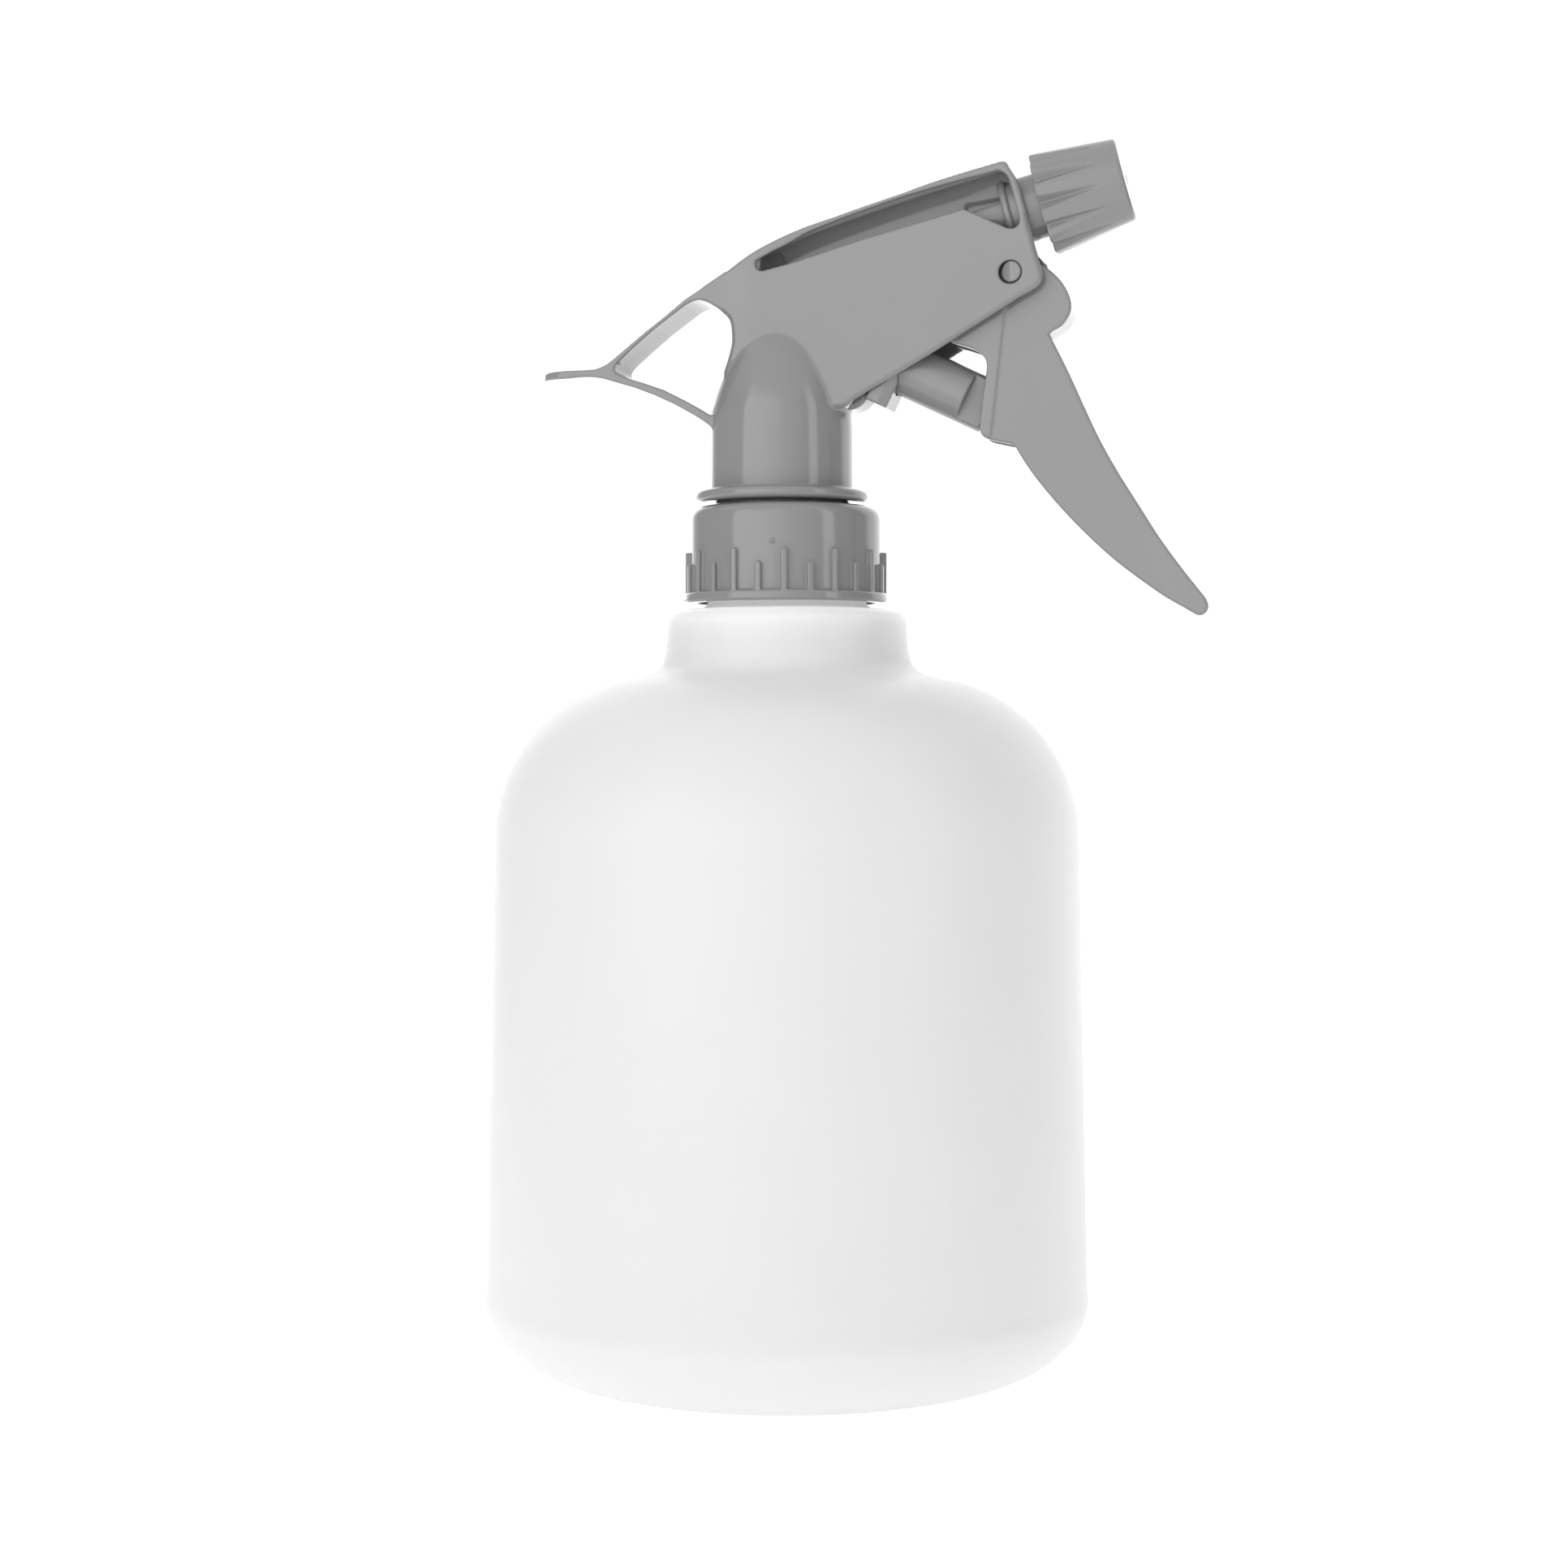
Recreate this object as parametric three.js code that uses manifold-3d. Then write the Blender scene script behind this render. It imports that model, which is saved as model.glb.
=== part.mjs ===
// Trigger spray bottle for housekeeping chemicals: a round blown bottle, a ribbed screw cap and a
// pump head with a pull trigger and an adjustable nozzle.
// Millimetres. +Z is up, +X is the way the nozzle points, the origin is the centre of the base.
// The object is mirror-symmetric about the XZ plane, apart from its threads and springs.

import * as THREE from 'three';
import { mergeVertices } from 'three/addons/utils/BufferGeometryUtils.js';
import Module from 'manifold-3d';

const wasm = await Module();
wasm.setup();

// ---- Driving dimensions -----------------------------------------------------------------------

const GAP = 0.3; // running gap between two pieces that touch in the real object

// Bottle
const BOTTLE_SEGMENTS = 32;
const BASE_R = 31;
const HEEL_R = 48.6;
const HEEL_Z = 12.2;
const SIDE_TOP_R = 46.9;
const SHOULDER_Z = 85.8;
const SHOULDER_ARC = 26.1;
const COLLAR_R = 19.4;
const COLLAR_BOTTOM_Z = 114.2;
const COLLAR_TOP_Z = 122.5;
const COLLAR_EDGE = 1.8;
const NECK_R = 12.7;
const NECK_BORE_R = 10.7;
const NECK_TOP_Z = 135;
const BOTTLE_WALL = 1.3;

// Screw thread between the bottle neck and the cap
const NECK_THREAD_R = 13.7;
const THREAD_PITCH = 4.23;
const THREAD_TURNS = 1.25;
const THREAD_START_Z = 126.6;

// Screw cap
const CAP_SEGMENTS = 36;
const CAP_BOTTOM_Z = 123.7;
const CAP_TOP_Z = 139.2;
const CAP_R = 15.3;
const CAP_FLANGE_R = 16.35;
const CAP_FLANGE_H = 1.7;
const CAP_BORE_R = 14.3;
const CAP_HOLE_R = 11.8;
const CAP_ROOF = 1.1;
const CAP_EDGE = 2;
const CAP_THREAD_R = 13.2;
const CAP_RIBS = 24;
const RIB_WIDTH = 0.9;
const RIB_R = 16.1;
const LONG_RIB_H = 6.6;
const SHORT_RIB_H = 4.5;
const RIB_PHASE = THREE.MathUtils.degToRad(12);

// Head housing: vertical stem, then a flat-sided shell that is open below
const STEM_R = 11.45;
const STEM_NECK_R = 11.2;
const STEM_BORE_R = 9.6;
const STEM_BOTTOM_Z = 136.4;
const STEM_STRAIGHT_TOP_Z = 152.8;
const BEAD_R = 13.2;
const BEAD_H = 1.4;
const RING_R = 14;
const RING_Z = 139.8;
const RING_H = 2;
const SHELL_HALF = 6.5;
const CAVITY_HALF = 5.7;
const SHELL_WALL = 1.6;
const TAIL_HALF = 5.5;
const TAIL_TIP_X = -40.5;

// Trigger and its pivot
const PIVOT = { x: 37, z: 174.9 };
const PIVOT_HOLE_R = 1.8;
const PIN_R = 1.4;
const PIN_HALF = 6.4;
const TRIGGER_HALF = 3.9;
const TRIGGER_SLOT_HALF = 2.5;
const TRIGGER_WALL = 1.8;

// Pump axis: runs forward and down; s is the distance along it from this point
const PUMP = { x: 30, z: 155.9, tilt: THREE.MathUtils.degToRad(25.5) };
const PUMP_BORE_R = 4.4;
const PUMP_R = 5.2;
const PUMP_REAR_S = -26.6;
const PUMP_MOUTH_S = -13.2;
const ROD_R = 4.05;
const ROD_BORE_R = 2.5;
const ROD_REAR_S = -17.2;
const ROD_SHOULDER_S = -0.6;
const ROD_TIP_S = 2.4;
const ROD_SPIGOT_R = 3.3;
const TONGUE_HALF = 2.1;

// Nozzle axis: runs forward and up; t is the distance along it from the rear of the nozzle cap
const NOZZLE = { x: 41.4, z: 186.5, tilt: THREE.MathUtils.degToRad(-15) };
const NOZZLE_LENGTH = 13.35;
const NOZZLE_REAR_R = 8.15;
const NOZZLE_FRONT_R = 6.4;
const NOZZLE_FLUTES = 12;
const NOZZLE_FLUTE_DEPTH = 0.55;
const NOZZLE_BORE_R = 6.35;
const NOZZLE_THREAD_PITCH = 2;
const TUBE_R = 5.2;
const TUBE_THREAD_R = 5.95;
const TUBE_REAR_T = -8;
const TUBE_FRONT_T = 9.2;
const CORE_R = 2.6;
const DISCHARGE_R = 3.4;
const VALVE_CASE_R = 3.9;
const FEED_R = 4.2;
const FEED_BORE_R = 1.8;

// Inlet parts on the stem's centre line
const DIP_TUBE_R = 3;
const DIP_TUBE_BORE_R = 2.2;
const DIP_TUBE_TIP_Z = 4.5;
const VENT_HOLE_R = 0.6;
const VENT_HOLE_X = 8;
const INLET_SEAT_Z = 139;
const INLET_BALL_R = 2.38;
const OUTLET_BALL_R = 1.98;
const OUTLET_SEAT_T = -15;

// ---- Solids -----------------------------------------------------------------------------------

// A closed three.js geometry as a manifold solid, turned right side out if it was built inside out.
function solid(geometry) {
  const bare = geometry.clone();
  bare.deleteAttribute('normal');
  bare.deleteAttribute('uv');
  const merged = mergeVertices(bare, 1e-4);
  const position = merged.attributes.position.array;
  const index = Uint32Array.from(merged.index.array);
  const a = new THREE.Vector3();
  const b = new THREE.Vector3();
  const c = new THREE.Vector3();
  const kept = [];
  let volume = 0;
  for (let i = 0; i < index.length; i += 3) {
    const [p, q, r] = [index[i], index[i + 1], index[i + 2]];
    if (p === q || q === r || r === p) continue;
    a.fromArray(position, 3 * p);
    b.fromArray(position, 3 * q);
    c.fromArray(position, 3 * r);
    volume += a.dot(b.cross(c));
    kept.push(p, q, r);
  }
  if (volume < 0) {
    for (let i = 0; i < kept.length; i += 3) {
      [kept[i + 1], kept[i + 2]] = [kept[i + 2], kept[i + 1]];
    }
  }
  const mesh = new wasm.Mesh({
    numProp: 3,
    vertProperties: Float32Array.from(position),
    triVerts: Uint32Array.from(kept),
  });
  return new wasm.Manifold(mesh);
}

// A manifold solid back as a three.js geometry.
function toGeometry(body) {
  const mesh = body.getMesh();
  const geometry = new THREE.BufferGeometry();
  geometry.setAttribute('position', new THREE.BufferAttribute(mesh.vertProperties.slice(), 3));
  geometry.setIndex(new THREE.BufferAttribute(mesh.triVerts.slice(), 1));
  geometry.computeVertexNormals();
  return geometry;
}

// Solid of revolution about +Z from a closed profile of [radius, height] pairs.
function turned(profile, segments) {
  const points = profile.map(([r, z]) => new THREE.Vector2(r, z));
  return new THREE.LatheGeometry(points, segments).rotateX(Math.PI / 2);
}

// Plain cylinder along +Z from z0 to z1.
function rod(radius, z0, z1, segments = 18) {
  return new THREE.CylinderGeometry(radius, radius, z1 - z0, segments)
    .rotateX(Math.PI / 2)
    .translate(0, 0, (z0 + z1) / 2);
}

// Plate cut from an [x, z] outline, centred on the XZ plane.
function plate(outline, half) {
  const shape = new THREE.Shape(outline.map(([x, z]) => new THREE.Vector2(x, z)));
  return new THREE.ExtrudeGeometry(shape, { depth: 2 * half, bevelEnabled: false })
    .rotateX(Math.PI / 2)
    .translate(0, half, 0);
}

// Turns a geometry built along +Z so that +Z runs along a tilted axis in the XZ plane.
function along(axis, geometry) {
  return geometry.rotateY(Math.PI / 2 + axis.tilt).translate(axis.x, 0, axis.z);
}

// Screw thread: a bar bent into a helix about +Z, narrower at its crest than at its root.
function thread({ rootR, crestR, rootWidth, crestWidth, pitch, turns, startZ, startAngle }) {
  const steps = Math.round(14 * turns);
  const bar = new THREE.BoxGeometry(1, 1, 1, steps, 1, 1);
  const position = bar.attributes.position;
  for (let i = 0; i < position.count; i += 1) {
    const along01 = position.getX(i) + 0.5;
    const atCrest = position.getY(i) > 0;
    const width = atCrest ? crestWidth : rootWidth;
    const angle = startAngle + 2 * Math.PI * turns * along01;
    const radius = atCrest ? crestR : rootR;
    const height = startZ + pitch * turns * along01 + width * position.getZ(i);
    position.setXYZ(i, radius * Math.cos(angle), radius * Math.sin(angle), height);
  }
  return bar;
}

// Helix used as the path of a coil spring along +Z.
class Helix extends THREE.Curve {
  constructor(radius, length, turns) {
    super();
    this.radius = radius;
    this.length = length;
    this.turns = turns;
  }

  getPoint(t, target = new THREE.Vector3()) {
    const angle = 2 * Math.PI * this.turns * t;
    return target.set(this.radius * Math.cos(angle), this.radius * Math.sin(angle), this.length * t);
  }
}

// Coil spring along +Z that starts at z0.
function coil({ radius, wire, length, turns, z0 }) {
  const section = new THREE.Shape();
  const sides = 4;
  for (let i = 0; i < sides; i += 1) {
    const angle = (2 * Math.PI * i) / sides;
    section[i === 0 ? 'moveTo' : 'lineTo'](wire * Math.cos(angle), wire * Math.sin(angle));
  }
  return new THREE.ExtrudeGeometry(section, {
    steps: 8 * turns,
    extrudePath: new Helix(radius, length, turns),
  }).translate(0, 0, z0);
}

// Points on an arc, from angle a0 to a1 in degrees.
function arc(cx, cz, rx, rz, a0, a1, count) {
  const points = [];
  for (let i = 0; i <= count; i += 1) {
    const angle = THREE.MathUtils.degToRad(a0 + ((a1 - a0) * i) / count);
    points.push([cx + rx * Math.cos(angle), cz + rz * Math.sin(angle)]);
  }
  return points;
}

// ---- Bottle -----------------------------------------------------------------------------------

// Outer or inner skin of the bottle from the base up to the collar; inset is the wall thickness.
function bottleSkin(inset, heelSteps, shoulderSteps) {
  const shoulderCentre = SIDE_TOP_R - SHOULDER_ARC;
  return [
    ...arc(BASE_R, HEEL_Z, HEEL_R - BASE_R - inset, HEEL_Z - inset, -90, 0, heelSteps),
    [HEEL_R - 0.35 - inset, HEEL_Z + 1.2],
    ...arc(shoulderCentre, SHOULDER_Z, SHOULDER_ARC - inset, SHOULDER_ARC - inset, 0, 76, shoulderSteps),
    [COLLAR_R + 1.7 - inset, COLLAR_BOTTOM_Z - 2 - inset],
    [COLLAR_R + 0.3 - inset, COLLAR_BOTTOM_Z - inset / 2],
  ];
}

function makeBottle() {
  const profile = [
    [0, 0],
    ...bottleSkin(0, 4, 5),
    [COLLAR_R - 0.2, COLLAR_TOP_Z - COLLAR_EDGE],
    [COLLAR_R - 0.2 - 0.3 * COLLAR_EDGE, COLLAR_TOP_Z - 0.3 * COLLAR_EDGE],
    [COLLAR_R - 0.2 - COLLAR_EDGE, COLLAR_TOP_Z],
    [NECK_R, COLLAR_TOP_Z],
    [NECK_R, NECK_TOP_Z],
    [NECK_BORE_R, NECK_TOP_Z],
    [NECK_BORE_R, COLLAR_TOP_Z - BOTTLE_WALL],
    [COLLAR_R - 0.2 - BOTTLE_WALL, COLLAR_TOP_Z - BOTTLE_WALL - 0.6],
    ...bottleSkin(BOTTLE_WALL, 2, 3).reverse(),
    [0, BOTTLE_WALL],
  ];
  const neckThread = thread({
    rootR: NECK_R - 0.25,
    crestR: NECK_THREAD_R,
    rootWidth: 1.7,
    crestWidth: 0.9,
    pitch: THREAD_PITCH,
    turns: THREAD_TURNS,
    startZ: THREAD_START_Z,
    startAngle: 0,
  });
  return solid(turned(profile, BOTTLE_SEGMENTS)).add(solid(neckThread));
}

// ---- Screw cap --------------------------------------------------------------------------------

function makeCap() {
  const roofZ = CAP_TOP_Z - CAP_ROOF;
  const profile = [
    [CAP_HOLE_R, CAP_TOP_Z],
    [CAP_R - CAP_EDGE, CAP_TOP_Z],
    [CAP_R - 0.3 * CAP_EDGE, CAP_TOP_Z - 0.3 * CAP_EDGE],
    [CAP_R, CAP_TOP_Z - CAP_EDGE],
    [CAP_R, CAP_BOTTOM_Z + CAP_FLANGE_H],
    [CAP_FLANGE_R, CAP_BOTTOM_Z + CAP_FLANGE_H],
    [CAP_FLANGE_R, CAP_BOTTOM_Z],
    [CAP_BORE_R, CAP_BOTTOM_Z],
    [CAP_BORE_R, roofZ],
    [CAP_HOLE_R, roofZ],
    [CAP_HOLE_R, CAP_TOP_Z],
  ];
  let cap = solid(turned(profile, CAP_SEGMENTS));
  for (let i = 0; i < CAP_RIBS; i += 1) {
    const height = i % 2 === 0 ? LONG_RIB_H : SHORT_RIB_H;
    const bottom = CAP_BOTTOM_Z + CAP_FLANGE_H - 0.2;
    const depth = RIB_R - CAP_R + 0.4;
    const rib = new THREE.BoxGeometry(depth, RIB_WIDTH, height + 0.2)
      .translate(RIB_R - depth / 2, 0, bottom + (height + 0.2) / 2)
      .rotateZ(RIB_PHASE + (2 * Math.PI * i) / CAP_RIBS);
    cap = cap.add(solid(rib));
  }
  const capThread = thread({
    rootR: CAP_BORE_R + 0.5,
    crestR: CAP_THREAD_R,
    rootWidth: 1.7,
    crestWidth: 0.9,
    pitch: THREAD_PITCH,
    turns: THREAD_TURNS,
    startZ: THREAD_START_Z - THREAD_PITCH / 2,
    startAngle: 0,
  });
  return cap.add(solid(capThread));
}

// ---- Housing ----------------------------------------------------------------------------------

const SHELL_TOP_LINE = [
  [-6.1, 178.4],
  [0.1, 181.6],
  [6.6, 184.1],
  [15.8, 187],
  [25.8, 189.7],
  [36, 192.3],
];

function makeHousing() {
  const shellOutline = [
    [-7.6, 160],
    [-7.2, 166],
    [-9.2, 169.9],
    [-12.6, 171.9],
    [-11.8, 174.7],
    ...SHELL_TOP_LINE,
    [37.4, 191.4],
    [41.9, 176.6],
    [42.3, 174.3],
    [41.1, 171.6],
    [36.5, 168.7],
    [11.9, 155.4],
    [10.6, 154.4],
    [0, 154],
  ];
  const tailOutline = [
    [-11.8, 174.8],
    [-22.5, 167.2],
    [-29, 162.2],
    [-30.4, 161.6],
    [TAIL_TIP_X, 161.4],
    [TAIL_TIP_X, 160.2],
    [-30.2, 160.3],
    [-24.2, 158.5],
    [-17.5, 155.7],
    [-11.1, 151.7],
    [-8, 151.7],
    [-8, 153.3],
    [-11.4, 153.7],
    [-15.8, 156.3],
    [-20.4, 158.5],
    [-26.9, 160.5],
    [-27.3, 161.9],
    [-20.8, 167.8],
    [-14.6, 172.2],
    [-12.6, 172.3],
    [-7.6, 171.7],
    [-7.6, 175],
  ];
  const cavityOutline = [
    [-5.6, 150],
    [-5.6, 166.5],
    [-7.4, 170.4],
    [-7.9, 173.2],
    ...SHELL_TOP_LINE.slice(0, -1).map(([x, z]) => [x + 0.5, z - SHELL_WALL]),
    [36, 190.2],
    [39.6, 178.2],
    [45, 178.2],
    [45, 170],
    [37.5, 168],
    [13, 154.6],
    [9.5, 157],
    [9.5, 150],
  ];
  const slotOutline = [
    [-3.9, 177.4],
    [-2.8, 176.4],
    [29.6, 185],
    [36.2, 181.5],
    [38.2, 182.3],
    [36.6, 188.4],
    [35.4, 190],
    ...SHELL_TOP_LINE.slice(1, -1).map(([x, z]) => [x + 0.5, z - SHELL_WALL]).reverse(),
    [-3.4, 178.2],
  ];
  const stemProfile = [
    [0, STEM_BOTTOM_Z],
    [BEAD_R, STEM_BOTTOM_Z],
    [BEAD_R, STEM_BOTTOM_Z + BEAD_H],
    [STEM_NECK_R, STEM_BOTTOM_Z + BEAD_H],
    [STEM_NECK_R, RING_Z],
    [RING_R - 0.5, RING_Z],
    [RING_R, RING_Z + 0.5],
    [RING_R, RING_Z + RING_H - 0.5],
    [RING_R - 0.5, RING_Z + RING_H],
    [STEM_R, RING_Z + RING_H],
    [STEM_R, STEM_STRAIGHT_TOP_Z],
    [10.9, 155],
    [9.33, 159.2],
    [7.69, 163.8],
    [6.5, 166.2],
    [4.5, 168],
    [0, 168.6],
  ];
  const boreProfile = [
    [0, STEM_BOTTOM_Z - 1],
    [STEM_BORE_R, STEM_BOTTOM_Z - 1],
    [STEM_BORE_R, STEM_STRAIGHT_TOP_Z],
    [7.5, 159.2],
    [5.4, 164],
    [0, 164],
  ];
  const tailPlan = rod(TAIL_HALF, 140, 190, 24).translate(TAIL_TIP_X + TAIL_HALF, 0, 0);
  const tailBlock = new THREE.BoxGeometry(40, 2 * TAIL_HALF, 50).translate(TAIL_TIP_X + TAIL_HALF + 20, 0, 165);
  const tail = solid(plate(tailOutline, TAIL_HALF)).intersect(solid(tailPlan).add(solid(tailBlock)));

  const pivotHole = new THREE.CylinderGeometry(PIVOT_HOLE_R, PIVOT_HOLE_R, 4 * SHELL_HALF, 20)
    .translate(PIVOT.x, 0, PIVOT.z);
  const nozzleHole = along(NOZZLE, rod(TUBE_R + 0.4, TUBE_REAR_T - 1, 3));
  return solid(turned(stemProfile, 32))
    .add(solid(plate(shellOutline, SHELL_HALF)))
    .add(tail)
    .subtract(solid(plate(cavityOutline, CAVITY_HALF)))
    .subtract(solid(turned(boreProfile, 24)))
    .subtract(solid(plate(slotOutline, 2 * SHELL_HALF)))
    .subtract(solid(nozzleHole))
    .subtract(solid(pivotHole));
}

// ---- Pump body: feed tube, pump cylinder, discharge tube and the web that ties them ------------

function makePumpBody() {
  const web = plate([
    [-4.9, 160],
    [-4.9, 166.6],
    [-6.8, 170.6],
    [-7.2, 173.2],
    [-5.6, 175.8],
    [0.6, 179.5],
    [7, 181.9],
    [16.2, 184.8],
    [26.2, 187.4],
    [31.2, 188.6],
    [32.6, 181],
    [24, 178.6],
    [19.5, 167],
    [14, 160],
  ], 1);
  const feedTube = turned([
    [0, 147.5],
    [FEED_R, 147.5],
    [FEED_R, 174.4],
    [FEED_R - 1.2, 176.3],
    [0, 176.9],
  ], 18);
  const body = solid(web)
    .add(solid(rod(6.6, 141, 148)))
    .add(solid(feedTube))
    .add(solid(along(PUMP, rod(PUMP_R, PUMP_REAR_S - 1.6, PUMP_MOUTH_S))))
    .add(solid(along(PUMP, rod(FEED_R, PUMP_REAR_S - 7, PUMP_REAR_S))))
    .add(solid(along(NOZZLE, rod(DISCHARGE_R, -42, -12))))
    .add(solid(along(NOZZLE, rod(VALVE_CASE_R, -18, -2.6))));
  return body
    .subtract(solid(rod(5.4, 140, 145.4)))
    .subtract(solid(rod(FEED_BORE_R, 145, 175.4, 12)))
    .subtract(solid(along(PUMP, rod(PUMP_BORE_R, PUMP_REAR_S, PUMP_MOUTH_S + 1))))
    .subtract(solid(along(PUMP, rod(FEED_BORE_R, PUMP_REAR_S - 6.8, PUMP_REAR_S + 1, 12))))
    .subtract(solid(along(NOZZLE, rod(1.3, -42.5, -14, 12))))
    .subtract(solid(along(NOZZLE, rod(OUTLET_BALL_R + 0.45, OUTLET_SEAT_T, 0, 16))));
}

// Ring clipped into the mouth of the pump cylinder; its sides are flat to clear the housing.
function makeRetainer() {
  const ring = turned([
    [ROD_R + GAP, -12.8],
    [6.3, -12.8],
    [6.3, -11.2],
    [5.6, -10.6],
    [ROD_R + GAP, -10.6],
    [ROD_R + GAP, -12.8],
  ], 28);
  const flats = new THREE.BoxGeometry(30, 2 * PUMP_R, 30).translate(0, 0, -12);
  return solid(ring).intersect(solid(flats));
}

// ---- Piston -----------------------------------------------------------------------------------

function makePiston() {
  const profile = [
    [ROD_BORE_R, ROD_REAR_S],
    [ROD_SPIGOT_R, ROD_REAR_S],
    [ROD_SPIGOT_R, ROD_REAR_S + 2],
    [ROD_R, ROD_REAR_S + 2],
    [ROD_R, ROD_SHOULDER_S - 0.4],
    [ROD_R - 0.4, ROD_SHOULDER_S],
    [0, ROD_SHOULDER_S],
    [0, -3],
    [ROD_BORE_R, -3],
    [ROD_BORE_R, ROD_REAR_S],
  ];
  const tongueLength = ROD_TIP_S - ROD_SHOULDER_S + 1;
  const tongue = new THREE.BoxGeometry(5, 2 * TONGUE_HALF, tongueLength)
    .translate(0, 0, ROD_TIP_S - tongueLength / 2);
  return solid(turned(profile, 24)).add(solid(tongue));
}

function makePistonSeal() {
  return solid(turned([
    [ROD_SPIGOT_R + GAP, ROD_REAR_S - 0.6],
    [PUMP_BORE_R - GAP, ROD_REAR_S - 1],
    [PUMP_BORE_R - GAP, ROD_REAR_S + 1.6],
    [ROD_SPIGOT_R + GAP, ROD_REAR_S + 1.6],
    [ROD_SPIGOT_R + GAP, ROD_REAR_S - 0.6],
  ], 24));
}

// ---- Trigger ----------------------------------------------------------------------------------

function makeTrigger() {
  const outline = [
    [41.4, 175.7],
    ...arc(PIVOT.x, PIVOT.z, 3.6, 3.6, 50, 150, 4),
    [31.2, 169.6],
    [26.9, 167],
    [27.1, 165.2],
    [30.6, 164.9],
    [32.2, 163.6],
    [31.9, 157.5],
    [31.2, 151],
    [32.6, 150],
    [37.1, 148.3],
    [41.7, 141.8],
    [49.3, 133.5],
    [58.1, 126.2],
    [64.4, 122.1],
    [66.3, 121],
    [67.6, 122],
    [67.3, 123.6],
    [60.2, 133.3],
    [53.7, 143.6],
    [48.5, 153.1],
    [43, 165.8],
    [45.4, 167.9],
    [46, 170.3],
    [44.6, 173.4],
  ];
  const slot = [
    [26, 149],
    [30, 163.2],
    [35, 166.5],
    [40.4, 166],
    [48.5 - 1.1 * TRIGGER_WALL, 152],
    [53.7 - 1.1 * TRIGGER_WALL, 142.6],
    [60.2 - 1.1 * TRIGGER_WALL, 132.4],
    [63, 126],
    [56, 124],
  ];
  const pin = new THREE.CylinderGeometry(PIN_R, PIN_R, 2 * PIN_HALF, 16).translate(PIVOT.x, 0, PIVOT.z);
  return solid(plate(outline, TRIGGER_HALF))
    .subtract(solid(plate(slot, TRIGGER_SLOT_HALF)))
    .add(solid(pin));
}

// ---- Nozzle -----------------------------------------------------------------------------------

function makeNozzleTube() {
  const profile = [
    [VALVE_CASE_R + GAP, TUBE_REAR_T],
    [TUBE_R, TUBE_REAR_T],
    [TUBE_R, 6.6],
    [TUBE_R - 0.5, 6.8],
    [TUBE_R - 0.5, TUBE_FRONT_T],
    [CORE_R + GAP, TUBE_FRONT_T],
    [CORE_R + GAP, 0.5],
    [1.4, 0.5],
    [1.4, -2.2],
    [VALVE_CASE_R + GAP, -2.2],
    [VALVE_CASE_R + GAP, TUBE_REAR_T],
  ];
  const tubeThread = thread({
    rootR: TUBE_R - 0.2,
    crestR: TUBE_THREAD_R,
    rootWidth: 0.9,
    crestWidth: 0.5,
    pitch: NOZZLE_THREAD_PITCH,
    turns: 1.5,
    startZ: 3,
    startAngle: 0,
  });
  return solid(turned(profile, 20)).add(solid(tubeThread));
}

// Fluted nozzle cap: the flutes fade out towards the front.
function makeNozzleCap() {
  const rings = 4;
  const around = 3 * NOZZLE_FLUTES;
  const skin = new THREE.CylinderGeometry(1, 1, 1, around, rings).rotateX(Math.PI / 2);
  const position = skin.attributes.position;
  const stations = [0, 1.2, 6.5, 12.4, NOZZLE_LENGTH];
  for (let i = 0; i < position.count; i += 1) {
    const station = stations[Math.round((position.getZ(i) + 0.5) * rings)];
    const angle = Math.atan2(position.getY(i), position.getX(i));
    const onAxis = Math.hypot(position.getX(i), position.getY(i)) < 0.5;
    const fade = 1 - station / NOZZLE_LENGTH;
    const flute = NOZZLE_FLUTE_DEPTH * fade * (0.5 - 0.5 * Math.cos(NOZZLE_FLUTES * angle));
    const edge = station === 0 || station === NOZZLE_LENGTH ? 0.6 : 0;
    const taper = NOZZLE_REAR_R + (NOZZLE_FRONT_R - NOZZLE_REAR_R) * (station / NOZZLE_LENGTH);
    const radius = onAxis ? 0 : taper - flute - edge;
    position.setXYZ(i, radius * Math.cos(angle), radius * Math.sin(angle), station);
  }
  const bore = turned([
    [0, -1],
    [NOZZLE_BORE_R, -1],
    [NOZZLE_BORE_R, 7.4],
    [5.3, 8],
    [5.3, 11.3],
    [0.5, 11.3],
    [0.5, 12.6],
    [1.8, NOZZLE_LENGTH + 0.1],
    [0, NOZZLE_LENGTH + 0.1],
  ], 20);
  const capThread = thread({
    rootR: NOZZLE_BORE_R + 0.4,
    crestR: TUBE_R + 0.35,
    rootWidth: 0.9,
    crestWidth: 0.5,
    pitch: NOZZLE_THREAD_PITCH,
    turns: 1.5,
    startZ: 3 - NOZZLE_THREAD_PITCH / 2,
    startAngle: 0,
  });
  return solid(skin).subtract(solid(bore)).add(solid(capThread));
}

function makeNozzleSeal() {
  return solid(turned([
    [1.2, 9.9],
    [4.9, 9.9],
    [4.9, 10.9],
    [1.2, 10.9],
    [1.2, 9.9],
  ], 24));
}

// Swirl core: a plug with three feed flats and a shallow swirl dish in its front face.
function makeSwirlCore() {
  let core = solid(rod(CORE_R, 0.9, 9, 24));
  for (let i = 0; i < 3; i += 1) {
    const flat = new THREE.BoxGeometry(2, 3, 7.4)
      .translate(CORE_R + 0.35, 0, 0.8 + 3.7)
      .rotateZ((2 * Math.PI * i) / 3);
    core = core.subtract(solid(flat));
  }
  return core.subtract(solid(rod(1.2, 8.4, 9.5, 12)));
}

// ---- Inlet parts ------------------------------------------------------------------------------

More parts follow.
